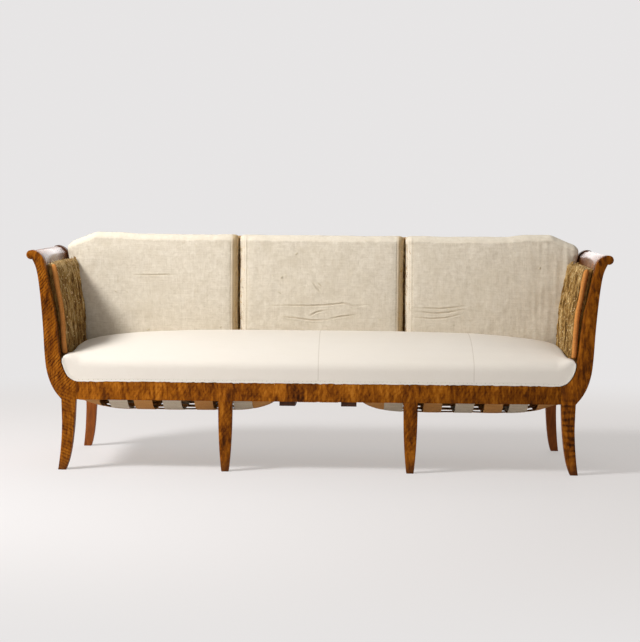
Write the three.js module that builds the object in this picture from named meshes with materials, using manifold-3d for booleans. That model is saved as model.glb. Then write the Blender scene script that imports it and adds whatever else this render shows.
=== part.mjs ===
// Three-seat sofa with scrolled arms, stripped to its muslin seat, linen back and bare arm stuffing.
// Millimetres, +Z up, the front towards -Y, the origin on the floor under the middle.
import * as THREE from 'three';
import { mergeVertices } from 'three/addons/utils/BufferGeometryUtils.js';
import Module from 'manifold-3d';

// Overall sizes
const overallWidth = 2100;
const overallDepth = 640;
const armHeight = 792;
const fit = 0.3;
const overrun = 5;

// Seat rails and the braces between them
const railBottom = 256;
const railHeight = 66;
const railThickness = 34;
const braceWidth = 56;
const braceThickness = 26;
const braceDrop = 17;
const braceBow = 17;
const braceHousing = 20;

// Joints of the frame
const tenonThickness = 12;
const tenonHeight = 34;
const tenonLength = 20;
const tenonWall = 4;
const sideTenonHeight = 22;
const sideTenonDrop = 12;
const legTenonWidth = 14;
const legTenonHeight = 38;
const tongue = 8;

// Arm uprights
const uprightThickness = 40;
const scrollRadius = 16.5;
const armSweep = 108.5;
const blockWidth = 53;
const scrollNeckAngle = 106;
const neckFlatRun = 22;

// Legs
const frontLegWidth = 51;
const frontLegDepth = 40;
const frontFootWidth = 28;
const frontFootDepth = 32;
const rearLegWidth = 45;
const rearLegDepth = 36;
const rearFootWidth = 29;
const rearFootDepth = 28;
const rearLegInset = 2;
const rearLegRake = 27;
const footKick = 12;
const middleLegDepth = 32;
const middleFootWidth = 26;
const middleFootDepth = 26;

// Arm boards between the uprights
const armTopDepth = 92;
const armTopInnerSet = 6;
const armTopOuterSet = 3;
const panelThickness = 8;
const panelSet = 4;
const sideRailWidth = 82;

// Back frame
const backRise = 43;
const backFrameLift = 3;
const backFrameThickness = 28;
const backRailHeight = 55;
const backStileWidth = 58;
const muntinWidth = 62;
const shoulderWidth = 96;
const shoulderDrop = 56;

// Cloth and webbing
const hessianThickness = 1.5;
const webbingThickness = 2;
const webbingWidth = 67;
const webbingSag = 54;
const middleSag = 16;
const webbingLap = 26;
const longStrapSpacing = 115;
const hessianLap = 16;
const strapGap = 1;
const braceStrapGap = 9.5;
const backWebSpacing = 190;

// Springs
const springRadius = 40;
const springWaist = 25;
const springWire = 4;
const springTurns = 4;

// Seat cushion
const seatEdgeRise = 83;
const seatCrownRise = 76;
const seatEndDrop = 50;
const seatFaceSet = 1.5;
const seatTailHeight = 70;
const cornerLift = 15;

// Back pads
const backPadDepth = 70;
const padRise = 11;
const backPadRound = 24;
const backPadCrown = 5;
const padGap = 5;
const stitchInset = 34;
const stitchDepth = 2.5;

// Arm pads and the burlap rolls on their front edges
const armPadDrop = 51;
const armPadLift = 24;
const armPadThin = 20;
const armPadThick = 34;
const armPadRearSwell = 4;
const armPadRound = 14;
const rollRadius = 9.5;
const rollLift = 13;

// Worked out from the sizes above
const frontFace = -overallDepth / 2;
const rearFace = overallDepth / 2 - rearLegRake;
const railTop = railBottom + railHeight;
const scrollX = overallWidth / 2 - scrollRadius;
const scrollZ = armHeight - scrollRadius;
const legOuter = scrollX - armSweep;
const blockInner = legOuter - blockWidth;
const middleLegShare = 0.3825;
const middleLegX = middleLegShare * blockInner;
const braceShare = 0.3328;
const braceX = braceShare * middleLegX;
const seatEdgeHeight = railTop + seatEdgeRise;
const seatCrownHeight = seatEdgeHeight + seatCrownRise;
const seatStep = railTop + seatTailHeight;
const backFrameTop = armHeight + backRise;
const backFrameBottom = seatStep + backFrameLift;
const backPadTop = backFrameTop + padRise;
const armPadTop = armHeight - armPadDrop;
const armPadBottom = railTop + armPadLift;
const rollBottom = seatEdgeHeight + rollLift;
const frontUprightBack = frontFace + uprightThickness;
const rearUprightFront = rearFace - uprightThickness;
const frontRailBack = frontFace + railThickness;
const backRailFront = rearFace - railThickness;
const backFrameRear = rearFace - fit;
const backFrameFront = backFrameRear - backFrameThickness;
const padBack = backFrameFront - webbingThickness - hessianThickness - 3 * fit;
const padFront = padBack - backPadDepth;

const wood = { roughness: 0.32, metalness: 0 };
const colours = {
  birch: 0x8a4a17, leg: 0x7d4016, plainWood: 0x5f2f18, pine: 0xb98a58, muslin: 0xe9e0d0,
  linen: 0xcfc4ad, hair: 0x6b5a35, jute: 0xb07a3c, webLight: 0xc9bda6, steel: 0x77736c,
};

const wasm = await Module();
wasm.setup();

const model = new THREE.Group();
model.name = 'sofa';

// Solids, cuts and joins

function solidOf(geometry) {
  const bare = geometry.clone();
  bare.deleteAttribute('normal');
  bare.deleteAttribute('uv');
  const merged = mergeVertices(bare, 1e-4);
  return new wasm.Manifold(new wasm.Mesh({
    numProp: 3,
    vertProperties: new Float32Array(merged.attributes.position.array),
    triVerts: new Uint32Array(merged.index.array),
  }));
}

function geometryOf(solid) {
  const mesh = solid.getMesh();
  const geometry = new THREE.BufferGeometry();
  geometry.setAttribute('position', new THREE.BufferAttribute(new Float32Array(mesh.vertProperties), 3));
  geometry.setIndex(new THREE.BufferAttribute(new Uint32Array(mesh.triVerts), 1));
  return geometry;
}

function combine(geometry, { joins = [], cuts = [], within = [] }) {
  let solid = solidOf(geometry);
  for (const other of joins) solid = solid.add(solidOf(other));
  for (const other of within) solid = solid.intersect(solidOf(other));
  for (const other of cuts) solid = solid.subtract(solidOf(other));
  return geometryOf(solid);
}

function addPiece(name, geometry, colour, finish = wood) {
  geometry.computeVertexNormals();
  const material = new THREE.MeshStandardMaterial({ color: colour, ...finish });
  const mesh = new THREE.Mesh(geometry, material);
  mesh.name = name;
  model.add(mesh);
}

// A box given by its two corners, grown on every side
function block(low, high, grow = 0) {
  const size = new THREE.Vector3(...high).sub(new THREE.Vector3(...low));
  const middle = new THREE.Vector3(...high).add(new THREE.Vector3(...low)).multiplyScalar(0.5);
  const geometry = new THREE.BoxGeometry(size.x + 2 * grow, size.y + 2 * grow, size.z + 2 * grow);
  return geometry.translate(middle.x, middle.y, middle.z);
}

// An outline in X and Z, carried along Y from one place to another
function slab(outline, fromY, toY, curveSegments = 3) {
  const shape = outline instanceof THREE.Shape ? outline : new THREE.Shape(outline);
  const settings = { depth: toY - fromY, bevelEnabled: false, curveSegments };
  return new THREE.ExtrudeGeometry(shape, settings).rotateX(Math.PI / 2).translate(0, toY, 0);
}

function mirrored(geometry) {
  const flipped = geometry.clone();
  flipped.scale(-1, 1, 1);
  return turnedOut(flipped.index ? flipped.toNonIndexed() : flipped);
}

// Turns every face over when the solid's volume comes out negative
function turnedOut(geometry) {
  const p = geometry.attributes.position;
  const a = new THREE.Vector3();
  const b = new THREE.Vector3();
  const c = new THREE.Vector3();
  let volume = 0;
  for (let i = 0; i < p.count; i += 3) {
    a.fromBufferAttribute(p, i);
    b.fromBufferAttribute(p, i + 1);
    c.fromBufferAttribute(p, i + 2);
    volume += a.dot(b.cross(c));
  }
  if (volume > 0) return geometry;
  for (let i = 0; i < p.count; i += 3) {
    b.fromBufferAttribute(p, i + 1);
    c.fromBufferAttribute(p, i + 2);
    p.setXYZ(i + 1, c.x, c.y, c.z);
    p.setXYZ(i + 2, b.x, b.y, b.z);
  }
  return geometry;
}

// A skin over a row of rings that have the same number of points, closed at both ends.
// The ends are flat across the axis 'x', 'y' or 'z'.
function loft(rings, axis) {
  const flatten = { x: (v) => [v.y, v.z], y: (v) => [v.x, v.z], z: (v) => [v.x, v.y] }[axis];
  const points = [];
  const push = (...corners) => corners.forEach((v) => points.push(v.x, v.y, v.z));
  for (let i = 0; i < rings.length - 1; i += 1) {
    rings[i].forEach((here, j) => {
      const next = (j + 1) % rings[i].length;
      push(here, rings[i][next], rings[i + 1][next]);
      push(here, rings[i + 1][next], rings[i + 1][j]);
    });
  }
  const flat = (ring) => ring.map((v) => new THREE.Vector2(...flatten(v)));
  const areaSign = Math.sign(THREE.ShapeUtils.area(flat(rings[0])));
  const capEnd = (ring, reverse) => {
    for (const [a, b, c] of THREE.ShapeUtils.triangulateShape(flat(ring), [])) {
      const ordered = capTurn(flat(ring), a, b, c) === areaSign ? [a, b, c] : [a, c, b];
      if (reverse) ordered.reverse();
      push(...ordered.map((k) => ring[k]));
    }
  };
  capEnd(rings[0], true);
  capEnd(rings[rings.length - 1], false);
  const geometry = new THREE.BufferGeometry();
  geometry.setAttribute('position', new THREE.Float32BufferAttribute(points, 3));
  return turnedOut(geometry);
}

function capTurn(flat, a, b, c) {
  const ab = flat[b].clone().sub(flat[a]);
  const ac = flat[c].clone().sub(flat[a]);
  return Math.sign(ab.cross(ac));
}

// The S-shaped edges of an arm

const outerShares = [
  [0, 0], [0.21, 0.055], [0.378, 0.123], [0.498, 0.212], [0.56, 0.33],
  [0.6, 0.48], [0.66, 0.64], [0.74, 0.8], [0.83, 0.905],
];
const innerShares = [
  [0, 0], [0.105, 0.013], [0.21, 0.046], [0.31, 0.117], [0.36, 0.198], [0.396, 0.295],
  [0.433, 0.421], [0.483, 0.558], [0.545, 0.657], [0.605, 0.754], [0.662, 0.86], [0.693, 0.911],
];

const neckAngle = THREE.MathUtils.degToRad(-scrollNeckAngle);
const neckPoint = new THREE.Vector2(
  scrollX + scrollRadius * Math.cos(neckAngle),
  scrollZ + scrollRadius * Math.sin(neckAngle),
);
const outerEdge = new THREE.SplineCurve([
  ...outerShares.map(([u, v]) => new THREE.Vector2(legOuter + u * armSweep,
    railBottom + v * (scrollZ - railBottom))),
  neckPoint,
]);
const innerEdge = new THREE.SplineCurve(innerShares.map(([u, v]) => new THREE.Vector2(
  blockInner + u * (scrollX - blockInner),
  railTop + v * (scrollZ - railTop),
)));
const innerTop = innerEdge.points[innerEdge.points.length - 1];

// Places along the back: where the shoulders begin to fall, and the gaps between the pads
const padGapShare = 0.3252;
const backTopHalf = innerTop.x - shoulderWidth;
const padGapX = padGapShare * innerTop.x;

// Every piece that follows an edge takes the same points along it
const pointsPerSpan = 3;
const outerTable = outerEdge.getPoints(pointsPerSpan * (outerEdge.points.length - 1));
const innerTable = innerEdge.getPoints(pointsPerSpan * (innerEdge.points.length - 1));

function edgeAt(table, z) {
  const k = Math.max(1, table.findIndex((p) => p.y >= z));
  const high = z > table[table.length - 1].y ? table.length - 1 : k;
  const a = table[high - 1];
  const b = table[high];
  return a.x + (b.x - a.x) * (z - a.y) / (b.y - a.y);
}

const outerX = (z) => edgeAt(outerTable, z);
const innerX = (z) => edgeAt(innerTable, z);

// The heights of an edge's points between two heights, with both ends
function edgeHeights(table, low, high) {
  const between = table.map((p) => p.y).filter((z) => z > low + fit && z < high - fit);
  return [low, ...between, high];
}

function innerRun(low, high, set) {
  return edgeHeights(innerTable, low, high).map((z) => new THREE.Vector2(innerX(z) + set, z));
}

function outerRun(low, high, set) {
  return edgeHeights(outerTable, low, high).map((z) => new THREE.Vector2(outerX(z) - set, z));
}

function heightsBetween(low, high, steps) {
  return Array.from({ length: steps + 1 }, (_, i) => low + (high - low) * i / steps);
}

// The scroll's head from the neck round to the inner edge, shrunk by the sets given
function addScroll(shape, outerSet, innerSet) {
  const radius = scrollRadius - outerSet;
  const top = armHeight - outerSet;
  shape.absarc(scrollX, scrollZ, radius, neckAngle, Math.PI / 2, false);
  shape.bezierCurveTo(
    scrollX - neckFlatRun + innerSet, top,
    innerTop.x + innerSet, scrollZ,
    innerTop.x + innerSet, innerTop.y,
  );
}

// Uprights: one S-shaped board at each corner, with a block at its foot for the rails and the leg

function uprightOutline() {
  const shape = new THREE.Shape();
  shape.moveTo(blockInner, railBottom);
  outerTable.forEach((p) => shape.lineTo(p.x, p.y));
  addScroll(shape, 0, 0);
  [...innerTable].reverse().slice(1).forEach((p) => shape.lineTo(p.x, p.y));
  shape.lineTo(blockInner, railBottom);
  return shape;
}

// A tenon on a right-hand rail end, at the corner nearest the front or the back
const tenonMiddleZ = railBottom + railHeight / 2;
const railTenonLow = [blockInner - overrun, 0, tenonMiddleZ - tenonHeight / 2];
const sideTenonX = legOuter - tenonThickness / 2;

function railTenon(faceY, inward, grow = 0) {
  const middleY = faceY + inward * railThickness / 2;
  return block(
    [railTenonLow[0], middleY - tenonThickness / 2, railTenonLow[2]],
    [blockInner + tenonLength, middleY + tenonThickness / 2, railTenonLow[2] + tenonHeight],
    grow,
  );
}

function sideTenon(faceY, outward, grow = 0) {
  const ends = [faceY - outward * overrun, faceY + outward * tenonLength].sort((a, b) => a - b);
  return block(
    [sideTenonX - tenonThickness / 2, ends[0], railTop - sideTenonDrop - sideTenonHeight],
    [sideTenonX + tenonThickness / 2, ends[1], railTop - sideTenonDrop],
    grow,
  );
}

function legTenon(middleX, middleY, grow = 0) {
  return block(
    [middleX - legTenonWidth / 2, middleY - tenonThickness / 2, railBottom - overrun],
    [middleX + legTenonWidth / 2, middleY + tenonThickness / 2, railBottom + legTenonHeight],
    grow,
  );
}

const cornerLegTenonX = blockInner + tenonLength + tenonWall + legTenonWidth / 2;
const frontLegTenonY = frontFace + railThickness / 2;
const rearLegTenonY = rearFace - railThickness / 2;

function addUprights() {
  const boards = {
    front: { low: frontFace, high: frontUprightBack, rail: railTenon(frontFace, 1, fit),
      side: sideTenon(frontUprightBack, -1, fit), leg: legTenon(cornerLegTenonX, frontLegTenonY, fit),
      groove: [frontUprightBack - tongue, frontUprightBack + overrun] },
    rear: { low: rearUprightFront, high: rearFace, rail: railTenon(rearFace, -1, fit),
      side: sideTenon(rearUprightFront, 1, fit), leg: legTenon(cornerLegTenonX, rearLegTenonY, fit),
      groove: [rearUprightFront - overrun, rearUprightFront + tongue] },
  };
  for (const [place, board] of Object.entries(boards)) {
    const grooves = armTongueCores().map((core) => slab(core.grown, board.groove[0], board.groove[1], 2));
    const right = combine(slab(uprightOutline(), board.low, board.high), {
      cuts: [board.rail, board.side, board.leg, ...grooves],
    });
    addPiece(`arm_upright_${place}_right`, right, colours.birch);
    addPiece(`arm_upright_${place}_left`, mirrored(right), colours.birch);
  }
}

// Arm top rail and outer panel, held by tongues in the uprights

const armTopBottom = armHeight - armTopDepth;

function armTopOutline() {
  const shape = new THREE.Shape();
  shape.moveTo(innerX(armTopBottom) + armTopInnerSet, armTopBottom);
  outerRun(armTopBottom, neckPoint.y - armTopOuterSet, armTopOuterSet).slice(0, -1)
    .forEach((p) => shape.lineTo(p.x, p.y));
  addScroll(shape, armTopOuterSet, armTopInnerSet);
  innerRun(armTopBottom, innerTop.y, armTopInnerSet).reverse().slice(1, -1)
    .forEach((p) => shape.lineTo(p.x, p.y));
  return shape;
}

function bandOutline(nearSet, farSet, low, high) {
  return [...outerRun(low, high, nearSet), ...outerRun(low, high, farSet).reverse()];
}

const panelLow = railTop + fit;
const panelHigh = armTopBottom - fit;

// The tongues stand in the middle of each board; each is given bare and grown for its groove
const topTongueShare = 0.33;
const panelTongueShare = 0.25;

function armTongueCores() {
  const topMiddle = new THREE.Vector2(scrollX - scrollRadius, scrollZ - scrollRadius);
  const reach = topTongueShare * scrollRadius;
  const square = (grow) => [
    new THREE.Vector2(topMiddle.x - reach - grow, topMiddle.y - 2 * reach - grow),
    new THREE.Vector2(topMiddle.x + reach + grow, topMiddle.y - 2 * reach - grow),
    new THREE.Vector2(topMiddle.x + reach + grow, topMiddle.y + 2 * reach + grow),
    new THREE.Vector2(topMiddle.x - reach - grow, topMiddle.y + 2 * reach + grow),
  ];
  const edge = panelTongueShare * panelThickness;
  const band = (grow) => bandOutline(panelSet + edge - grow, panelSet + panelThickness - edge + grow,
    panelLow + tongue - grow, panelHigh - tongue + grow);
  return [
    { bare: square(0), grown: square(fit) },
    { bare: band(0), grown: band(fit) },
  ];
}

function addArmBoards() {
  const low = frontUprightBack + fit;
  const high = rearUprightFront - fit;
  const [topTongue, panelTongue] = armTongueCores();
  const through = (outline) => slab(outline, frontUprightBack - tongue + fit, rearUprightFront + tongue - fit, 2);
  const top = combine(slab(armTopOutline(), low, high), { joins: [through(topTongue.bare)] });
  const panel = combine(
    slab(bandOutline(panelSet, panelSet + panelThickness, panelLow, panelHigh), low, high),
    { joins: [through(panelTongue.bare)] },
  );
  for (const [side, place] of [['right', (g) => g], ['left', mirrored]]) {
    addPiece(`arm_top_rail_${side}`, place(top), colours.birch);
    addPiece(`arm_panel_${side}`, place(panel), colours.birch);
  }
}

// Seat rails

function braceNotch(faceY, backY) {
  return [-1, 1].map((side) => block(
    [side * braceX - braceWidth / 2 - fit, Math.min(faceY, backY), railBottom - overrun],
    [side * braceX + braceWidth / 2 + fit, Math.max(faceY, backY),
      railBottom - braceDrop + braceThickness + fit],
  ));
}

function addLongRails() {
  const halfLength = blockInner - fit;
  const bothTenons = (tenon) => [tenon, mirrored(tenon)];
  const front = combine(block([-halfLength, frontFace, railBottom], [halfLength, frontRailBack, railTop]), {
    joins: bothTenons(railTenon(frontFace, 1)),
    cuts: [
      ...[-1, 1].map((side) => legTenon(side * middleLegX, frontLegTenonY, fit)),
      ...braceNotch(frontRailBack - braceHousing - fit, frontRailBack + overrun),
    ],
  });
  addPiece('front_rail', front, colours.birch);
  const back = combine(block([-halfLength, backRailFront, railBottom], [halfLength, rearFace, railTop]), {
    joins: bothTenons(railTenon(rearFace, -1)),
    cuts: braceNotch(backRailFront + braceHousing + fit, backRailFront - overrun),
  });
  addPiece('back_seat_rail', back, colours.plainWood);
}

function addSideRails() {
  const low = frontUprightBack + fit;
  const high = rearUprightFront - fit;
  const outerTop = outerX(railTop) - panelSet;
  const outline = [
    new THREE.Vector2(outerTop - sideRailWidth, railTop),
    new THREE.Vector2(outerTop - sideRailWidth, railBottom),
    ...outerRun(railBottom, railTop, panelSet),
  ];
  const right = combine(slab(outline, low, high), {
    joins: [sideTenon(frontUprightBack, -1), sideTenon(rearUprightFront, 1)],
  });
  addPiece('side_rail_right', right, colours.birch);
  addPiece('side_rail_left', mirrored(right), colours.birch);
}

// A brace is a flat bar that bows downwards between its housed ends
const braceSteps = 8;

function braceTopAt(y) {
  const middle = (frontRailBack + backRailFront) / 2;
  const half = (backRailFront - frontRailBack) / 2 + braceHousing;
  return railBottom - braceDrop + braceThickness - braceBow * (1 - ((y - middle) / half) ** 2);
}

function addBraces() {
  const places = heightsBetween(frontRailBack - braceHousing, backRailFront + braceHousing, braceSteps);
  for (const [side, name] of [[-1, 'left'], [1, 'right']]) {
    const middle = side * braceX;
    const rings = places.map((y) => [[-1, -1], [1, -1], [1, 0], [-1, 0]].map(([u, v]) => new THREE.Vector3(
      middle + u * braceWidth / 2,
      y,
      braceTopAt(y) + v * braceThickness,
    )));
    addPiece(`cross_brace_${name}`, loft(rings, 'y'), colours.plainWood);
  }
}

// Legs: a ring of four corners at each height, from the foot up to the rail

const legHeightShares = [0, 0.12, 0.3, 0.48, 0.64, 0.82, 1];
const sabreOuterShares = [1, 0.62, 0.2, -0.07, -0.2, -0.13, 0];
const sabreInnerShares = [0, 0.31, 0.59, 0.76, 0.87, 0.95, 1];
const taperShares = [0, 0.28, 0.58, 0.78, 0.9, 0.97, 1];

function legRings(leg) {
  return legHeightShares.map((share, i) => {
    const z = share === 1 ? railBottom - fit : share * railBottom;
    const [inner, outer] = leg.sides(i);
    const [front, back] = leg.faces(share, taperShares[i]);
    return [[inner, front], [outer, front], [outer, back], [inner, back]]
      .map(([x, y]) => new THREE.Vector3(x, y, z));
  });
}

// A sabre leg sweeps outwards to its foot: its outer edge moves by the kick, its inner edge by all the rest
function sabreSides(outerTop, topWidth, footWidth, kick) {
  return (i) => [
    outerTop + kick - footWidth - (topWidth - footWidth + kick) * sabreInnerShares[i],
    outerTop + kick * sabreOuterShares[i],
  ];
}

function addLegs() {
  const front = combine(loft(legRings({
    sides: sabreSides(legOuter, frontLegWidth, frontFootWidth, footKick),
    faces: (share, taper) => [frontFace, frontFace + THREE.MathUtils.lerp(frontFootDepth, frontLegDepth, taper)],
  }), 'z'), { joins: [legTenon(cornerLegTenonX, frontLegTenonY)] });
  const rear = combine(loft(legRings({
    sides: sabreSides(legOuter - rearLegInset, rearLegWidth, rearFootWidth, footKick),
    faces: (share, taper) => {
      const back = rearFace + rearLegRake * (1 - share) ** 2;
      return [back - THREE.MathUtils.lerp(rearFootDepth, rearLegDepth, taper), back];
    },
  }), 'z'), { joins: [legTenon(cornerLegTenonX, rearLegTenonY)] });
  addPiece('leg_front_right', front, colours.leg);
  addPiece('leg_front_left', mirrored(front), colours.leg);
  addPiece('leg_rear_right', rear, colours.plainWood);
  addPiece('leg_rear_left', mirrored(rear), colours.plainWood);
  const middle = combine(loft(legRings({
    sides: (i) => [-1, 1].map((side) => middleLegX
      + side * THREE.MathUtils.lerp(middleFootWidth, frontLegWidth, taperShares[i]) / 2),
    faces: (share, taper) => [frontFace,
      frontFace + THREE.MathUtils.lerp(middleFootDepth, middleLegDepth, taper)],
  }), 'z'), { joins: [legTenon(middleLegX, frontLegTenonY)] });
  addPiece('leg_middle_right', middle, colours.leg);
  addPiece('leg_middle_left', mirrored(middle), colours.leg);
}

// Back frame: stiles that follow the uprights, a rail above and below, and two muntins behind the gaps

// How far the top line has fallen at a distance from the middle, past the level stretch
const shoulderPowerShare = 1.8;
const shoulderSteps = 6;

function shoulderFall(x) {
  const past = Math.max(0, Math.abs(x) - backTopHalf) / (innerTop.x - backTopHalf);
  return shoulderDrop * past ** shoulderPowerShare;
}

const frameMiddleY = (backFrameFront + backFrameRear) / 2;
const backTenonDepthShare = 0.33;
const backTenonDepth = backTenonDepthShare * backFrameThickness;
const tenonShoulderShare = 0.25;
const railShoulder = tenonShoulderShare * backRailHeight;
const backRailLow = backFrameTop - backRailHeight;
const backBottomHigh = backFrameBottom + backRailHeight;
const stileInner = (z) => innerX(z) - fit - backStileWidth;

function shoulderLine(top, fromX, toX, steps) {
  return heightsBetween(fromX, toX, steps).map((x) => new THREE.Vector2(x, top - shoulderFall(x)));
}

// A tenon through the thickness of the back frame, long in X or in Z
function frameTenon(low, high, grow = 0) {
  return block([low[0], frameMiddleY - backTenonDepth / 2, low[1]],
    [high[0], frameMiddleY + backTenonDepth / 2, high[1]], grow);
}

function topTenon(grow = 0) {
  return frameTenon([backTopHalf - overrun, backRailLow + railShoulder],
    [backTopHalf + tenonLength, backFrameTop - railShoulder], grow);
}

function bottomTenon(grow = 0) {
  return frameTenon([stileInner(backFrameBottom) - overrun, backFrameBottom + railShoulder],
    [stileInner(backFrameBottom) + tenonLength, backBottomHigh - railShoulder], grow);
}

function muntinTenon(z, way, grow = 0) {
  const ends = [z - way * overrun, z + way * tenonLength].sort((a, b) => a - b);
  const half = (0.5 - tenonShoulderShare) * muntinWidth;
  return frameTenon([padGapX - half, ends[0]], [padGapX + half, ends[1]], grow);
}

function addBackFrame() {
  const board = (outline) => slab(outline, backFrameFront, backFrameRear, 2);
  const innerHeights = edgeHeights(innerTable, backFrameBottom, backRailLow - fit).reverse();
  const outerTop = innerTop.x - fit;
  const stile = combine(board([
    ...innerRun(backFrameBottom, innerTop.y, -fit),
    ...shoulderLine(backFrameTop, backTopHalf + fit, outerTop, shoulderSteps).reverse(),
    new THREE.Vector2(backTopHalf + fit, backRailLow),
    ...innerHeights.map((z) => new THREE.Vector2(stileInner(z), z)),
  ]), { cuts: [topTenon(fit), bottomTenon(fit)] });
  addPiece('back_stile_right', stile, colours.pine);
  addPiece('back_stile_left', mirrored(stile), colours.pine);
  const bothSides = (solid) => [solid, mirrored(solid)];
  const top = combine(block([-backTopHalf, backFrameFront, backRailLow],
    [backTopHalf, backFrameRear, backFrameTop]), {
    joins: bothSides(topTenon()),
    cuts: bothSides(muntinTenon(backRailLow, 1, fit)),
  });
  addPiece('back_top_rail', top, colours.pine);
  const right = innerHeights.filter((z) => z < backBottomHigh).reverse().concat(backBottomHigh)
    .map((z) => new THREE.Vector2(stileInner(z) - fit, z));
  const left = [...right].reverse().map((p) => new THREE.Vector2(-p.x, p.y));
  const bottom = combine(board([...right, ...left]), {
    joins: bothSides(bottomTenon()),
    cuts: bothSides(muntinTenon(backBottomHigh, -1, fit)),
  });
  addPiece('back_bottom_rail', bottom, colours.pine);
  const muntin = combine(block(
    [padGapX - muntinWidth / 2, backFrameFront, backBottomHigh + fit],
    [padGapX + muntinWidth / 2, backFrameRear, backRailLow - fit],
  ), { joins: [muntinTenon(backRailLow, 1), muntinTenon(backBottomHigh, -1)] });
  addPiece('back_muntin_right', muntin, colours.pine);
  addPiece('back_muntin_left', mirrored(muntin), colours.pine);
}

// Seat webbing, nailed under the rails and pressed down by the springs

const wellMiddle = (frontRailBack + backRailFront) / 2;
const wellHalf = (backRailFront - frontRailBack) / 2;
const sideRailInner = outerX(railTop) - panelSet - sideRailWidth;
const sagEndsPower = 6;
const sagAcrossPower = 4;
const braceInner = braceX - braceWidth / 2;
const braceOuter = braceX + braceWidth / 2;

function sagAlong(x) {
  const far = Math.abs(x);
  if (far < braceInner) return middleSag * (1 - (far / braceInner) ** 2);
  if (far < braceOuter || far > sideRailInner) return 0;
  const across = (2 * far - braceOuter - sideRailInner) / (sideRailInner - braceOuter);
  return webbingSag * (1 - Math.abs(across) ** sagEndsPower);
}

function webTop(x, y) {
  const across = Math.min(1, Math.abs(y - wellMiddle) / wellHalf);
  return railBottom - fit - sagAlong(x) * (1 - across ** sagAcrossPower);
}

// A flat strap whose two edges are given at each of its places
function strap(places, edges, top, axis) {
  const rings = places.map((place) => {
    const [near, far] = edges(place);
    const high = [near, far].map(([x, y]) => new THREE.Vector3(x, y, top(x, y)));
    const low = high.map((v) => v.clone().setZ(v.z - webbingThickness));
    return [high[0], high[1], low[1], low[0]];
  });
  return loft(rings, axis);
}

// The straps of one bay, as many as fit between its sides, with the room left over shared out between them
const halfWeb = webbingWidth / 2;

function bayStraps(low, high, kinds, roomShares) {
  const count = Math.min(kinds.length, Math.floor((high - low + strapGap) / (webbingWidth + strapGap)));
  const room = high - low - count * webbingWidth - (count - 1) * strapGap;
  return kinds.slice(0, count).map((kind, i) => (
    { kind, x: low + halfWeb + i * (webbingWidth + strapGap) + roomShares[i] * room }
  ));
}

const innerBayShares = [0.956, 0.956];
const outerBayShares = [0.123, 0.38, 0.583, 0.703, 0.889];
const crossStraps = [
  { kind: 'jute', x: braceInner - braceStrapGap - halfWeb },
  ...bayStraps(braceOuter, middleLegX - frontLegWidth / 2, ['jute', 'linen'], innerBayShares),
  ...bayStraps(middleLegX + frontLegWidth / 2, sideRailInner,
    ['jute', 'linen', 'jute', 'linen', 'jute'], outerBayShares),
];
const strapPlaces = (kind) => crossStraps.filter((one) => one.kind === kind).map((one) => one.x);
const juteWebX = strapPlaces('jute');
const linenWebX = strapPlaces('linen');

// The straps bend where the edges of others cross them, and more often near the rails
const nearRailShares = [0.73, 0.88, 1];
const crossHalf = [
  halfWeb, longStrapSpacing - halfWeb, longStrapSpacing + halfWeb,
  ...nearRailShares.map((share) => share * wellHalf),
  wellHalf + webbingLap,
];
const crossPlaces = [...crossHalf.map((y) => -y).reverse(), ...crossHalf].map((y) => wellMiddle + y);

function crossStrap(middle, top) {
  return strap(crossPlaces, (y) => [[middle - halfWeb, y], [middle + halfWeb, y]], top, 'y');
}

function longPlaces() {
  const half = [
    ...crossStraps.flatMap(({ x }) => [x - halfWeb, x + halfWeb]),
    braceInner,
    braceOuter,
    sideRailInner,
    sideRailInner + webbingLap,
  ];
  return [...new Set([...half, ...half.map((x) => -x)])].sort((a, b) => a - b);
}

// The height of the woven straps between the places where they bend
function wovenTop(x, y) {
  const bracket = (places, value) => {
    const k = Math.max(1, places.findIndex((place) => place >= value));
    return [places[k - 1], places[k], (value - places[k - 1]) / (places[k] - places[k - 1])];
  };
  const [x0, x1, u] = bracket(longPlaces(), x);
  const [y0, y1, v] = bracket(crossPlaces, y);
  const { lerp } = THREE.MathUtils;
  return lerp(lerp(webTop(x0, y0), webTop(x1, y0), u), lerp(webTop(x0, y1), webTop(x1, y1), u), v);
}

// One woven sheet over a grid of places, with a cell wherever a strap runs
function wovenNet(xs, ys, runs, top) {
  const filled = (i, j) => i >= 0 && j >= 0 && i < xs.length - 1 && j < ys.length - 1
    && runs((xs[i] + xs[i + 1]) / 2, (ys[j] + ys[j + 1]) / 2);
  const corner = (i, j, down) => [xs[i], ys[j], top(xs[i], ys[j]) - down * webbingThickness];
  const points = [];
  const quad = (a, b, c, d) => points.push(...a, ...b, ...c, ...a, ...c, ...d);
  for (let i = 0; i < xs.length - 1; i += 1) {
    for (let j = 0; j < ys.length - 1; j += 1) {
      if (!filled(i, j)) continue;
      const [a, b, c, d] = [[i, j], [i + 1, j], [i + 1, j + 1], [i, j + 1]];
      quad(corner(...a, 0), corner(...b, 0), corner(...c, 0), corner(...d, 0));
      quad(corner(...d, 1), corner(...c, 1), corner(...b, 1), corner(...a, 1));
      const sides = [[a, b, i, j - 1], [b, c, i + 1, j], [c, d, i, j + 1], [d, a, i - 1, j]];
      for (const [near, far, besideX, besideY] of sides) {
        if (filled(besideX, besideY)) continue;
        quad(corner(...near, 1), corner(...far, 1), corner(...far, 0), corner(...near, 0));
      }
    }
  }
  const geometry = new THREE.BufferGeometry();
  geometry.setAttribute('position', new THREE.Float32BufferAttribute(points, 3));
  return geometry;
}

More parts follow.
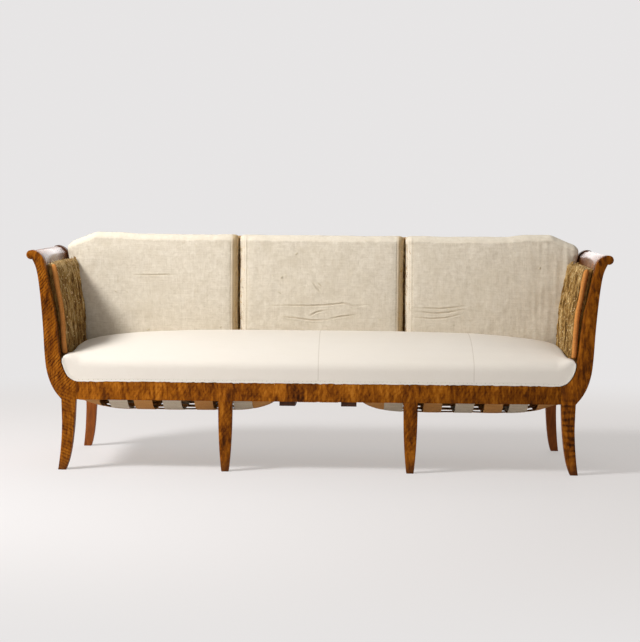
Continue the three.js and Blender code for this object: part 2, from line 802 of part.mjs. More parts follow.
function addSeatWebbing() {
  const near = (places, value) => places.some((place) => Math.abs(Math.abs(value) - place) < halfWeb);
  const longRun = (y) => near([0, longStrapSpacing], y - wellMiddle);
  const juteRuns = (x, y) => near(juteWebX, x) || (longRun(y) && Math.abs(x) < sideRailInner + webbingLap);
  addPiece('seat_webbing_jute', wovenNet(longPlaces(), crossPlaces, juteRuns, webTop), colours.jute);
  const underLong = longStrapSpacing + halfWeb;
  const linenTop = (x, y) => {
    const clear = (wellHalf - Math.abs(y - wellMiddle)) / (wellHalf - underLong);
    return webTop(x, y) - (webbingThickness + fit) * THREE.MathUtils.clamp(2 * clear, 0, 1);
  };
  for (const [side, name] of [[-1, 'left'], [1, 'right']]) {
    linenWebX.forEach((x, i) => {
      addPiece(`seat_webbing_linen_${name}_${i + 1}`, crossStrap(side * x, linenTop), colours.webLight);
    });
  }
}

// Coil springs between the webbing and the hessian, drawn in at the waist

const springSteps = 8;
const springSides = 5;
const springPinchPower = 1.5;
const springPlaceShares = [-0.738, -0.3974, 0, 0.3974, 0.738];

function spring(x, y) {
  const turnAngles = Array.from({ length: springSteps }, (_, i) => 2 * Math.PI * i / springSteps);
  const reach = springRadius + springWire / 2;
  const seat = Math.max(...turnAngles.map((a) => wovenTop(x + reach * Math.cos(a), y + reach * Math.sin(a))));
  const low = seat + fit + springWire / 2;
  const high = railTop - springWire / 2;
  const radiusAt = (t) => springWaist + (springRadius - springWaist) * Math.abs(2 * t - 1) ** springPinchPower;
  const rings = heightsBetween(0, 1, springSteps * springTurns).map((t) => {
    const turn = 2 * Math.PI * springTurns * t;
    const out = new THREE.Vector3(Math.cos(turn), Math.sin(turn), 0);
    const middle = out.clone().multiplyScalar(radiusAt(t)).add(new THREE.Vector3(x, y, low + (high - low) * t));
    return Array.from({ length: springSides }, (_, k) => {
      const a = 2 * Math.PI * k / springSides;
      return middle.clone()
        .addScaledVector(out, springWire / 2 * Math.cos(a))
        .add(new THREE.Vector3(0, 0, springWire / 2 * Math.sin(a)));
    });
  });
  const pitch = (high - low) / springTurns;
  return { solid: loft(rings, 'y'), gap: pitch - springWire };
}

function addSprings() {
  let leastGap = Infinity;
  for (const [row, way] of [['front', -1], ['rear', 1]]) {
    springPlaceShares.forEach((share, i) => {
      const { solid, gap } = spring(share * sideRailInner, wellMiddle + way * longStrapSpacing);
      leastGap = Math.min(leastGap, gap);
      addPiece(`seat_spring_${row}_${i + 1}`, solid, colours.steel, { roughness: 0.5, metalness: 0.8 });
    });
  }
  console.log(`least gap between two turns of a spring: ${leastGap.toFixed(2)} mm`);
}

// Hessian over the seat springs, on the arm insides and on the back frame

function seatHessian(grow = 0) {
  const low = railTop + fit;
  const high = low + hessianThickness;
  const between = block([-blockInner + fit, frontRailBack - hessianLap, low],
    [blockInner - fit, backRailFront + hessianLap, high], grow);
  const wide = sideRailInner + hessianLap;
  const overSides = block([-wide, frontUprightBack + 2 * fit, low], [wide, rearUprightFront - 2 * fit, high], grow);
  return combine(between, { joins: [overSides] });
}

const armClothIn = armTopInnerSet - fit - 2 * hessianThickness;
const armClothFoot = armPadBottom;

function armHessianRing(y) {
  const heights = [railTop + fit, ...edgeHeights(innerTable, armClothFoot, innerTop.y)];
  const x = (z) => innerX(Math.max(z, armClothFoot)) + armClothIn;
  return [
    ...heights.map((z) => new THREE.Vector3(x(z) + hessianThickness, y, z)),
    ...heights.reverse().map((z) => new THREE.Vector3(x(z), y, z)),
  ];
}

const backClothSteps = 4;

function backHessian() {
  const edge = 3 * fit;
  const top = backFrameTop - hessianLap / 2;
  const right = [
    ...innerRun(backFrameBottom + hessianLap / 2, innerTop.y, -edge),
    ...shoulderLine(top, backTopHalf, innerTop.x - edge, backClothSteps).reverse(),
  ];
  const left = [...right].reverse().map((p) => new THREE.Vector2(-p.x, p.y));
  const front = padBack + fit;
  return slab([...right, ...left], front, front + hessianThickness);
}

const backWebShares = [0.33, 0.67];

function backWebbing() {
  const back = backFrameFront - fit;
  const front = back - webbingThickness;
  const bays = [0, (padGapX + backTopHalf) / 2, -(padGapX + backTopHalf) / 2];
  const uprights = bays.flatMap((x) => [x - backWebSpacing / 2, x + backWebSpacing / 2]).map((x) => block(
    [x - halfWeb, front, backFrameBottom + hessianLap],
    [x + halfWeb, back, backFrameTop - hessianLap],
  ));
  const levels = backWebShares.map((share) => {
    const z = THREE.MathUtils.lerp(backFrameBottom, backFrameTop, share);
    const end = innerX(z - halfWeb) - hessianLap;
    return block([-end, front, z - halfWeb], [end, back, z + halfWeb]);
  });
  return combine(uprights[0], { joins: [...uprights.slice(1), ...levels] });
}

function addCloth() {
  const cloth = { roughness: 0.95, metalness: 0 };
  addPiece('seat_hessian', seatHessian(), colours.jute, cloth);
  const arm = loft([frontUprightBack + fit, rearUprightFront - fit].map(armHessianRing), 'y');
  addPiece('arm_hessian_right', arm, colours.jute, cloth);
  addPiece('arm_hessian_left', mirrored(arm), colours.jute, cloth);
  addPiece('back_hessian', backHessian(), colours.jute, cloth);
  addPiece('back_webbing', backWebbing(), colours.jute, cloth);
}

// Arm stuffing, with a burlap roll along its front edge

const padStart = frontUprightBack + 2 * fit + 2 * rollRadius;
const padEnd = padFront - fit;
const armPadSteps = 4;
const armRoundShares = [0.33, 0.67, 1];

function armPadSet(z) {
  const share = THREE.MathUtils.smoothstep(z, armPadBottom, innerTop.y);
  return armPadThin + (armPadThick - armPadThin) * share;
}

function armPadRing(y, grow) {
  const along = (y - padStart) / (padEnd - padStart);
  const swell = armPadRearSwell * THREE.MathUtils.clamp(along, 0, 1);
  const inner = (z) => innerX(z) - armPadSet(z) - swell - grow;
  const outer = (z) => innerX(z) + armClothIn - fit + grow;
  const top = armPadTop + grow;
  const round = armPadRound;
  const innerHeights = edgeHeights(innerTable, armPadBottom - grow, top - round);
  const roundAngles = armRoundShares.map((share) => share * Math.PI / 2);
  const outerHeights = edgeHeights(innerTable, armPadBottom - grow, top).reverse();
  return [
    ...innerHeights.map((z) => new THREE.Vector3(inner(z), y, z)),
    ...roundAngles.map((a) => new THREE.Vector3(inner(top - round) + round * (1 - Math.cos(a)), y,
      top - round + round * Math.sin(a))),
    ...outerHeights.map((z) => new THREE.Vector3(outer(z), y, z)),
  ];
}

function armPad(grow = 0) {
  const places = heightsBetween(padStart, padEnd, armPadSteps);
  places[0] -= grow;
  places[places.length - 1] += grow;
  return loft(places.map((y) => armPadRing(y, grow)), 'y');
}

// The roll keeps its thickness up to its end, which closes in two steps down from its top
const rollSides = 10;
const rollSteps = 11;
const rollEndShares = [[0.33, 0.8], [0, 0.4]];

function edgeRoll(grow = 0) {
  const radius = rollRadius + grow;
  const top = armPadTop + grow;
  const levels = [
    ...heightsBetween(rollBottom - grow, top - radius, rollSteps).map((z) => [z, 1]),
    ...rollEndShares.map(([down, share]) => [top - down * radius, share]),
  ];
  const rings = levels.map(([z, share]) => Array.from({ length: rollSides }, (_, k) => {
    const a = 2 * Math.PI * k / rollSides;
    return new THREE.Vector3(
      innerX(z) - armPadSet(z) + rollRadius + share * radius * Math.cos(a),
      frontUprightBack + fit + rollRadius + share * radius * Math.sin(a),
      z,
    );
  }));
  return loft(rings, 'z');
}

function addArmPads() {
  const hair = { roughness: 1, metalness: 0 };
  addPiece('arm_pad_right', armPad(), colours.hair, hair);
  addPiece('arm_pad_left', mirrored(armPad()), colours.hair, hair);
  addPiece('edge_roll_right', edgeRoll(), colours.jute, hair);
  addPiece('edge_roll_left', mirrored(edgeRoll()), colours.jute, hair);
}

// Seat cushion: a crowned top, a soft front edge, and a tail that runs back under the back pads

const seatLow = railTop + fit;
const seatFaceY = frontFace + seatFaceSet;
const seatBackY = padFront - fit;
const seatTailY = rearFace - legTenonWidth / 2;
const seatTuckShare = 0.33;
const seatHalf = innerX(seatEdgeHeight) + seatTuckShare * armPadThin;
const seatFaceShares = [[0.03, 0], [0.004, 0.28], [0, 0.52], [0.05, 0.8], [0.17, 0.97]];
const seatTopShares = [
  [0.065, 0.09], [0.16, 0.36], [0.28, 0.62], [0.42, 0.83], [0.56, 0.95],
  [0.7, 1], [0.82, 0.96], [0.92, 0.84], [1, 0.62],
];
const seatPlaceShares = [0, 0.17, 0.33, 0.5, 0.64, 0.75, 0.84, 0.91, 0.955, 0.985, 1];
const seatDropPower = 4.3;
const cornerLiftPower = 6;
const tailBevelShare = 0.25;

function seatRing(x) {
  const far = Math.abs(x) / seatHalf;
  const drop = seatEndDrop * far ** seatDropPower;
  const lift = cornerLift * far ** cornerLiftPower;
  const edge = seatEdgeHeight - seatLow;
  const crown = seatCrownHeight - seatEdgeHeight;
  const face = seatFaceShares.map(([u, v]) => [seatFaceY + u * edge, seatLow + v * (edge + lift)]);
  const top = seatTopShares.map(([u, v]) => [seatFaceY + u * (seatBackY - seatFaceY),
    seatEdgeHeight + lift * (1 - v) + v * (crown - drop)]);
  const tail = [
    [seatBackY, seatStep - 2 * fit],
    [backFrameFront, seatStep - 2 * fit],
    [seatTailY, seatStep - tailBevelShare * seatTailHeight],
    [seatTailY, seatLow],
  ];
  return [...face, ...top, ...tail].map(([y, z]) => new THREE.Vector3(x, y, z));
}

// The cushion's front view: it follows the inside of the uprights
function seatOutline() {
  const top = seatCrownHeight + overrun;
  const right = [
    ...innerRun(railTop, seatEdgeHeight, -2 * fit),
    new THREE.Vector2(innerX(seatEdgeHeight) - 2 * fit, top),
  ];
  return [...right, ...[...right].reverse().map((p) => new THREE.Vector2(-p.x, p.y))];
}

function addSeatCushion() {
  const right = seatPlaceShares.map((share) => share * seatHalf);
  const places = [...right.slice(1).map((x) => -x).reverse(), ...right];
  const bothSides = (solid) => [solid, mirrored(solid)];
  const cushion = combine(loft(places.map(seatRing), 'x'), {
    within: [slab(seatOutline(), frontFace - overrun, rearFace + overrun)],
    cuts: [...bothSides(armPad(fit)), ...bothSides(edgeRoll(fit)), seatHessian(fit)],
  });
  addPiece('seat_cushion', cushion, colours.muslin, { roughness: 0.95, metalness: 0 });
}

// Back pads: rounded towards the gaps, with a stitched roll round the edge

const backPadLow = seatStep + fit;
const padPlaceShares = [0.2, 0.4, 0.6, 0.8];
const padFaceShares = [0.15, 0.4, 0.65, 0.85];
const padRoundShares = [0.3, 0.65, 1];
const padEaseShare = 0.33;

function padRounding(distance) {
  const short = Math.max(0, backPadRound - distance);
  return backPadRound - Math.sqrt(backPadRound ** 2 - short ** 2);
}

function backPadRing(x, low, high) {
  const distance = Math.min(x - low, high - x);
  const back = padRounding(distance);
  const across = (2 * x - low - high) / (high - low);
  const groove = Math.abs(distance - stitchInset) < fit ? stitchDepth : 0;
  const front = padFront + back + groove;
  const top = backPadTop - shoulderFall(x) - padEaseShare * back;
  const bulge = (share) => backPadCrown * (1 - across ** 2) * Math.sin(Math.PI * share);
  const roundAngles = padRoundShares.map((share) => share * Math.PI / 2);
  const face = padFaceShares.map((share) => [front + backPadCrown - bulge(share),
    backPadLow + share * (top - stitchInset - backPadLow)]);
  return [
    [padBack, backPadLow],
    [front + backPadCrown + padEaseShare * backPadRound, backPadLow],
    ...face,
    [front + backPadCrown + stitchDepth, top - stitchInset],
    [front + backPadCrown, top - backPadRound],
    ...roundAngles.map((a) => [
      front + backPadCrown + (backPadRound - groove) * (1 - Math.cos(a)),
      top - backPadRound * (1 - Math.sin(a)),
    ]),
    [padBack, top - fit],
  ].map(([y, z]) => new THREE.Vector3(x, y, z));
}

const padEdgeShares = [0, 0.14, 0.35, 0.65, 1];

function padPlaces(low, high) {
  const pastStitch = stitchInset + padEaseShare * backPadRound;
  const edge = [...padEdgeShares.map((share) => share * backPadRound), stitchInset, pastStitch];
  return [
    ...edge.map((d) => low + d),
    ...padPlaceShares.map((share) => low + share * (high - low)),
    ...edge.map((d) => high - d).reverse(),
  ];
}

function backPadOutline() {
  const outer = innerRun(backPadLow - overrun, innerTop.y, -3 * fit);
  const top = backPadTop + overrun;
  return [
    new THREE.Vector2(0, top),
    new THREE.Vector2(0, backPadLow - overrun),
    ...outer,
    new THREE.Vector2(innerTop.x - 3 * fit, top),
  ];
}

function addBackPads() {
  const linen = { roughness: 0.95, metalness: 0 };
  const half = padGapX - padGap / 2;
  const middle = loft(padPlaces(-half, half).map((x) => backPadRing(x, -half, half)), 'x');
  addPiece('back_pad_middle', middle, colours.linen, linen);
  const low = half + padGap;
  const high = innerTop.x + backPadRound;
  const right = combine(loft(padPlaces(low, high).map((x) => backPadRing(x, low, high)), 'x'), {
    within: [slab(backPadOutline(), padFront - overrun, padBack + overrun)],
  });
  addPiece('back_pad_right', right, colours.linen, linen);
  addPiece('back_pad_left', mirrored(right), colours.linen, linen);
}

addUprights();
addArmBoards();
addLongRails();
addSideRails();
addBraces();
addLegs();
addBackFrame();
addSeatWebbing();
addSprings();
addCloth();
addArmPads();
addSeatCushion();
addBackPads();

export default model;
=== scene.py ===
import bmesh
import bpy
import math
import numpy as np
from contextlib import contextmanager
from mathutils import Matrix, Vector, noise
from mathutils.bvhtree import BVHTree


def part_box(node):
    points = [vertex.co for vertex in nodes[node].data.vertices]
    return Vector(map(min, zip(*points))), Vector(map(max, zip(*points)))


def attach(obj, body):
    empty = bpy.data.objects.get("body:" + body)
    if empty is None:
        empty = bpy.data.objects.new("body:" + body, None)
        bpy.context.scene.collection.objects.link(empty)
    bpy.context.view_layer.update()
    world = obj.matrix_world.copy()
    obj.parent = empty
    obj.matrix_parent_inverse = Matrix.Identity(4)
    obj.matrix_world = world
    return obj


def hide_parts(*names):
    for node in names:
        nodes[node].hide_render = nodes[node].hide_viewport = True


# Three-seat birch sofa, stripped to muslin, linen and bare arm stuffing

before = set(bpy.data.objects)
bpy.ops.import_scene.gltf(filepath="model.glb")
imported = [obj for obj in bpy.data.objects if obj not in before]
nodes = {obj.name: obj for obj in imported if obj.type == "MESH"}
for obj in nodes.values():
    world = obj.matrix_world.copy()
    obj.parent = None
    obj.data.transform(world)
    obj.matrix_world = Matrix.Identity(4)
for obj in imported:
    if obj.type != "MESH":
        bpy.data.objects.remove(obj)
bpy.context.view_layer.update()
scene = bpy.context.scene
sides = {"left": -1, "right": 1}
print("frame loaded:", len(nodes), "nodes")


# Node trees: a short way to add and join nodes, for the world, the materials and Geometry Nodes

class Value:   # a node's output, which adds, subtracts and multiplies like a number

    def __init__(self, tree, socket):
        self.tree, self.socket = tree, socket

    def __getitem__(self, name):   # another output of the same node
        return Value(self.tree, self.socket.node.outputs[name])

    def __add__(self, other):
        return self.tree.math("ADD", self, other)

    def __sub__(self, other):
        return self.tree.math("SUBTRACT", self, other)

    def __rsub__(self, other):
        return self.tree.math("SUBTRACT", other, self)

    def __mul__(self, other):
        return self.tree.math("MULTIPLY", self, other)


class Nodes:

    def __init__(self, tree):
        self.tree = tree

    def fill(self, node, inputs):
        for key, value in inputs.items():
            socket = node.inputs[key]
            if isinstance(value, Value):
                self.tree.links.new(value.socket, socket)
            elif socket.type == "RGBA":
                socket.default_value = (*value, 1)
            else:
                socket.default_value = value

    def node(self, kind, inputs=None, **settings):
        made = self.tree.nodes.new(kind)
        for key, value in settings.items():
            setattr(made, key, value)
        self.fill(made, inputs or {})
        return Value(self, made.outputs[0]) if made.outputs else None

    def math(self, kind, a, b=0.5, c=0.0, **settings):
        return self.node("ShaderNodeMath", {0: a, 1: b, 2: c}, operation=kind, **settings)

    def fade(self, value, low, high, least=0.0):
        inputs = {"Value": value, "From Min": low, "From Max": high, "To Min": least}
        return self.node("ShaderNodeMapRange", inputs, interpolation_type="SMOOTHSTEP")

    def ramp(self, share, stops):   # a stop's colour may be one grey level
        made = self.tree.nodes.new("ShaderNodeValToRGB")
        elements = made.color_ramp.elements
        while len(elements) < len(stops):
            elements.new(0.5)
        for element, (place, colour) in zip(elements, stops.items()):
            element.position = place
            element.color = (*colour, 1) if isinstance(colour, tuple) else (colour, colour, colour, 1)
        self.fill(made, {"Fac": share})
        return Value(self, made.outputs["Color"])

    def seenDirectly(self):   # 1 where the camera, a gloss or a clear part sees it, otherwise 0
        path = self.node("ShaderNodeLightPath")
        either = self.math("MAXIMUM", path["Is Camera Ray"], path["Is Glossy Ray"])
        return self.math("MAXIMUM", either, path["Is Transmission Ray"])


class Shader(Nodes):

    def __init__(self, name, roughness, specular):
        self.material = bpy.data.materials.new(name)
        self.material.use_nodes = True
        super().__init__(self.material.node_tree)
        self.surface = self.tree.nodes["Principled BSDF"]
        self.fill(self.surface, {"Roughness": roughness, "Specular IOR Level": specular})
        self.place = self.node("ShaderNodeTexCoord")["Object"]

    def mapping(self, turn=(0, 0, 0), scale=(1, 1, 1), shift=(0, 0, 0)):
        turned = [math.radians(a) for a in turn]
        inputs = {"Vector": self.place, "Rotation": turned, "Scale": scale, "Location": shift}
        return self.node("ShaderNodeMapping", inputs)

    def noise(self, vector, scale, detail=3.0, rough=0.5, distort=0.0):
        inputs = {"Vector": vector, "Scale": scale, "Detail": detail, "Roughness": rough,
                  "Distortion": distort}
        return self.node("ShaderNodeTexNoise", inputs)

    def wave(self, vector, scale, distort, detail, detailScale):
        inputs = {"Vector": vector, "Scale": scale, "Distortion": distort, "Detail": detail,
                  "Detail Scale": detailScale}
        return self.node("ShaderNodeTexWave", inputs, wave_type="BANDS", bands_direction="X")["Fac"]

    def axis(self, name):
        return self.node("ShaderNodeSeparateXYZ", {0: self.place})[name]

    def attribute(self, name):
        return self.node("ShaderNodeAttribute", attribute_name=name)["Fac"]

    def mix(self, share, a, b, blend="MIX"):
        return self.node("ShaderNodeMix", {0: share, 6: a, 7: b}, data_type="RGBA", blend_type=blend)[2]

    def finish(self, colour, bump=None, **others):   # a bump is its height, strength and distance
        surface = {"Base Color": colour} | others
        if bump:
            inputs = dict(zip(("Height", "Strength", "Distance"), bump))
            surface["Normal"] = self.node("ShaderNodeBump", inputs)
        self.fill(self.surface, surface)
        return self.material


# Camera, backdrop and light

cameraSet = {
    "place": (0.1238, -6.7615, 1.0168),
    "yaw": -1.057, "pitch": -4.162, "roll": 0.515,   # degrees: left is negative, down is negative
    "focal": 1803.7, "pictureLongSide": 642, "sensor": 36.0,
}
# Each lamp's place, what it aims at, its size and its power
lamps = {
    "key": ((-2.9, -1.75, 3.4), (0.0, -0.1, 0.4), 0.95, 205.0),
    "fill": ((-1.2, -5.8, 3.0), (0.0, 0.0, 0.5), 3.2, 30.0),
    "back": ((0.3, 4.6, 2.9), (0.0, 0.0, 0.3), 4.0, 85.0),
}
worldSet = {
    "strength": 0.34, "colour": (1.0, 0.985, 0.97), "backColour": (0.80, 0.785, 0.785),
    "roomColour": (0.05, 0.048, 0.045),   # what shiny wood sees behind the photographer
    "roomTo": 0.30, "backFrom": 0.62,
}
floorSet = {
    "half": 16.0, "paper": (0.727, 0.707, 0.711), "fadeFrom": 1.5, "fadeTo": 3.4,
    "nearColour": (0.81, 0.755, 0.695),   # painted light: near the sofa the floor's glow is warm, standing in for light off the wood in the shadows
    "glowLeast": 0.5,   # the share of glowing backdrop colour close to the sofa: painted light which lifts the shadows
}


def newMesh(name, points, faces=()):
    mesh = bpy.data.meshes.new(name)
    mesh.from_pydata(points, [], faces)
    return mesh


def newObject(name, data):
    made = bpy.data.objects.new(name, data)
    scene.collection.objects.link(made)
    return made


def makeCamera(s):
    yaw, pitch, roll = (math.radians(s[k]) for k in ("yaw", "pitch", "roll"))
    forward = Vector((math.sin(yaw) * math.cos(pitch), math.cos(yaw) * math.cos(pitch), math.sin(pitch)))
    right = forward.cross(Vector((0, 0, 1))).normalized()
    up = right.cross(forward)
    turnedRight = right * math.cos(roll) + up * math.sin(roll)
    turnedUp = up * math.cos(roll) - right * math.sin(roll)
    data = bpy.data.cameras.new("camera")
    data.sensor_width = s["sensor"]
    data.lens = s["focal"] * s["sensor"] / s["pictureLongSide"]
    camera = newObject("camera", data)
    axes = Matrix((turnedRight, turnedUp, -forward)).transposed()
    camera.matrix_world = Matrix.Translation(s["place"]) @ axes.to_4x4()
    scene.camera = camera


def areaLight(name, place, aim, size, power):
    data = bpy.data.lights.new(name, "AREA")
    data.energy = power
    data.size = size
    light = newObject(name, data)
    light.location = place
    light.rotation_euler = (Vector(aim) - Vector(place)).to_track_quat("-Z", "Y").to_euler()


def makeWorld(s):
    world = bpy.data.worlds.new("studio")
    scene.world = world
    world.use_nodes = True
    world.node_tree.nodes.clear()
    n = Nodes(world.node_tree)
    # the room behind the photographer is dim, the backdrop is bright
    ahead = n.node("ShaderNodeSeparateXYZ", {0: n.node("ShaderNodeTexCoord")["Generated"]})["Y"]
    shown = n.ramp(ahead * 0.5 + 0.5, {s["roomTo"]: s["roomColour"], s["backFrom"]: s["backColour"]})
    seen = n.node("ShaderNodeBackground", {"Color": shown})
    lit = n.node("ShaderNodeBackground", {"Color": s["colour"], "Strength": s["strength"]})
    both = n.node("ShaderNodeMixShader", {"Fac": n.seenDirectly(), 1: lit, 2: seen})
    n.node("ShaderNodeOutputWorld", {"Surface": both})


def makeFloor(s, backColour):
    h = s["half"]
    mesh = newMesh("studio_floor", [(-h, -h, 0), (h, -h, 0), (h, h, 0), (-h, h, 0)], [(0, 1, 2, 3)])
    paper = Shader("paper", 0.95, 0.0)
    paper.finish(s["paper"])
    # away from the sofa the paper runs into the backdrop's own colour
    away = paper.node("ShaderNodeVectorMath", {0: paper.place}, operation="LENGTH")["Value"]
    share = paper.fade(away, s["fadeFrom"], s["fadeTo"], s["glowLeast"])
    # near the sofa half of what the camera sees is this glow: painted light in the floor's shadows, warm
    # with the near colour
    glow = paper.node("ShaderNodeEmission", {"Color": paper.mix(share, s["nearColour"], backColour)})
    lit = Value(paper, paper.surface.outputs[0])
    both = paper.node("ShaderNodeMixShader", {"Fac": share * paper.seenDirectly(), 1: lit, 2: glow})
    paper.fill(paper.tree.nodes["Material Output"], {"Surface": both})
    mesh.materials.append(paper.material)
    newObject("studio_floor", mesh)


makeCamera(cameraSet)
makeWorld(worldSet)
makeFloor(floorSet, worldSet["backColour"])
for name, lamp in lamps.items():
    areaLight(name + "_light", *lamp)
scene.view_settings.view_transform = "Standard"
print("camera, floor and lights made")


# Wood: flame birch under shellac, plainer stained birch, and sawn pine

birchTones = {0.10: (0.030, 0.0070, 0.0005), 0.33: (0.095, 0.0235, 0.0009), 0.51: (0.185, 0.0500, 0.0014),
              0.70: (0.290, 0.0880, 0.0038), 0.94: (0.420, 0.1500, 0.0130)}
# Here and below a noise is its scale, detail, roughness and distortion, and tones are a ramp's stops
flameSet = {
    "shine": 0.07, "rough": 0.42, "relief": 0.16, "bumpHeight": 0.0005,
    "patches": (9.0, 3.0, 0.6), "patchTones": {0.40: 0.12, 0.60: 1.0}, "wander": (26.0, 2.0, 0.5),
    "waver": (4.5, 2.5, 1.3), "barTones": {0.05: 0.12, 0.42: 0.62, 0.80: 0.80}, "barMiddle": 0.62,
    "alongScale": (1, 0.6, 0.30), "fleckNoise": (95.0, 5.0, 0.66, 0.5), "flecks": 1.35,
    "cloudNoise": (21.0, 5.0, 0.62, 1.0), "fibreNoise": (1.0, 3.0, 0.6), "fibre": 0.22,
    "knocks": (62.0, 2.0, 0.5), "knockTones": {0.79: 0.0, 0.815: 0.55}, "rubbing": (14.0, 4.0, 0.6),
    "footTo": 0.060, "footWear": 0.55, "footColour": (0.075, 0.026, 0.010), "rawWood": (0.50, 0.27, 0.10),
    "legBlend": (0.235, 0.335),   # heights between which the leg's figure turns into the upright's
}
# The figure of each board: the lean of its bars, their spacing and strength, above the rail and in the leg
flames = {
    "birchLeft": {"bars": (-44, 0.0098, 0.95), "legBars": (68, 0.0115, 0.80), "blotch": 1.05, "tone": 0.04,
                  "grain": (520, 520, 12), "seed": 0.3, "rough": 0.40},
    "birchRight": {"bars": (38, 0.0230, 0.24), "legBars": (84, 0.0220, 0.85), "blotch": 1.45, "tone": 0.04,
                   "grain": (520, 520, 12), "seed": 2.1},
    "birchRail": {"bars": (-40, 0.0135, 0.30), "blotch": 1.35, "tone": 0.05,
                  "grain": (12, 520, 520), "seed": 4.4},
    "birchArm": {"bars": (60, 0.0160, 0.03), "blotch": 0.30, "tone": -0.02,
                 "grain": (520, 12, 520), "seed": 8.8, "shine": 0.55, "rough": 0.25, "relief": 0.01},
}
wavePeriod = 0.3141593   # a band texture of scale 1 repeats after this many metres


def flameBirch(name, board):
    look = flameSet | {"legBars": board["bars"]} | board
    s = Shader(name, look["rough"], look["shine"])
    shift = (look["seed"], look["seed"] * 0.7, look["seed"] * 1.3)
    plain = s.mapping(shift=shift)
    patchy = s.ramp(s.noise(plain, *look["patches"]), look["patchTones"])
    wander = s.noise(plain, *look["wander"])

    def figured(lean, gap, strength):
        # thin dark bars that waver and come and go, with short flecks and broad clouds along them
        turned = s.mapping(turn=(0, lean, 0), shift=shift)
        thin = s.ramp(s.wave(turned, wavePeriod / gap, *look["waver"]), look["barTones"])
        along = s.mapping(turn=(0, lean, 0), scale=look["alongScale"], shift=shift)
        flecks = s.noise(along, *look["fleckNoise"]) - 0.5
        clouds = s.noise(along, *look["cloudNoise"]) - 0.5
        barred = (thin - look["barMiddle"]) * (patchy * (wander * strength))
        return barred + (flecks * look["flecks"] + clouds * look["blotch"])

    height = s.fade(s.axis("Z"), *look["legBlend"])
    figure = figured(*look["bars"]) * height + figured(*look["legBars"]) * (1.0 - height)
    fibre = s.noise(s.mapping(scale=look["grain"]), *look["fibreNoise"])
    figure = figure + (fibre - 0.5) * look["fibre"] + (0.5 + look["tone"])
    # feet are scuffed darker, and small knocks show raw wood
    foot = 1.0 - s.fade(s.axis("Z"), 0.0, look["footTo"])
    worn = s.mix(foot * look["footWear"], s.ramp(figure, birchTones), look["footColour"])
    knocks = s.ramp(s.noise(plain, *look["knocks"]), look["knockTones"])
    rough, relief = look["rough"], look["relief"]
    smoothest, roughest = rough - 0.4 * relief, rough + 0.9 * relief
    rubbed = s.ramp(s.noise(s.place, *look["rubbing"]), {0.3: smoothest, 0.75: roughest})
    bump = (fibre * 0.6 + figure * 0.3, relief, look["bumpHeight"])
    return s.finish(s.mix(knocks, worn, look["rawWood"]), bump, Roughness=rubbed)


plainSet = {
    "shine": 0.15, "relief": 0.35, "bumpHeight": 0.0008, "smoother": 0.10, "rougher": 0.12,
    "grainNoise": (1.0, 5.0, 0.62, 0.4), "grainShare": 0.6,
    "broadNoise": (1.0, 4.0, 0.6, 0.6), "broadScale": (10, 10, 1.6), "broadShare": 0.5,
}


def plainWood(name, dark, light, rough, grainTurn=(0, 0, 0), grainScale=(90, 90, 4)):
    look = plainSet
    s = Shader(name, rough, look["shine"])
    grain = s.noise(s.mapping(turn=grainTurn, scale=grainScale), *look["grainNoise"])
    broad = s.noise(s.mapping(turn=grainTurn, scale=look["broadScale"]), *look["broadNoise"])
    rubbed = s.ramp(grain, {0.2: rough - look["smoother"], 0.9: min(1.0, rough + look["rougher"])})
    figure = grain * look["grainShare"] + broad * look["broadShare"]
    bump = (grain, look["relief"], look["bumpHeight"])
    return s.finish(s.ramp(figure, {0.3: dark, 0.75: light}), bump, Roughness=rubbed)


# Cloth: plain weaves with uneven threads, stains and specks

# the seam colour is painted shade along a seam's groove
seamSet = {"from": 0.0006, "to": 0.0022, "share": 0.45, "colour": (0.45, 0.38, 0.29)}
weaveSet = {
    "rough": 0.92, "shine": 0.06, "relief": 0.6, "threadNoise": (1.0, 2.0, 0.5), "lengthwise": 0.035,
    "fineScale": 0.9, "fineDetail": (2.0, 0.7), "threadShare": 0.75, "fineShare": 0.25, "fineRelief": 0.4,
    "stainNoise": (5.0, 5.0, 0.62, 0.3), "stainFrom": 0.40, "stainStrength": 6,
    "speckNoise": (75.0, 3.0, 0.7), "speckTones": {0.17: 0.86, 0.26: 1.0},
}


def woven(name, base, shade, threadScale, bumpDistance, slub, stain, stainAmount, seams=()):
    look = weaveSet
    s = Shader(name, look["rough"], look["shine"])
    thin, long = threadScale, threadScale * look["lengthwise"]
    warp = s.noise(s.mapping(scale=(thin, thin, long)), *look["threadNoise"])
    weft = s.noise(s.mapping(scale=(long, thin, thin)), *look["threadNoise"])
    threads = warp * 0.5 + weft * 0.5
    fine = s.noise(s.place, threadScale * look["fineScale"], *look["fineDetail"])
    tone = threads * look["threadShare"] + fine * look["fineShare"]
    cloth = s.ramp(tone, {0.5 - slub / 2: shade, 0.5 + slub / 2: base})
    cloudy = s.noise(s.place, *look["stainNoise"])
    stained = s.math("SUBTRACT", cloudy, look["stainFrom"], use_clamp=True)
    cloth = s.mix(stained * (stainAmount * look["stainStrength"]), cloth, stain)
    for seam in seams:   # a thin darker line where two widths are sewn together: painted shade of the seam's groove
        away = s.math("ABSOLUTE", s.axis("X") - seam)
        line = 1.0 - s.fade(away, seamSet["from"], seamSet["to"])
        cloth = s.mix(line * seamSet["share"], cloth, seamSet["colour"])
    specks = s.ramp(s.noise(s.place, *look["speckNoise"]), look["speckTones"])
    bump = (threads + fine * look["fineRelief"], look["relief"], bumpDistance)
    return s.finish(s.mix(1.0, cloth, specks, "MULTIPLY"), bump)


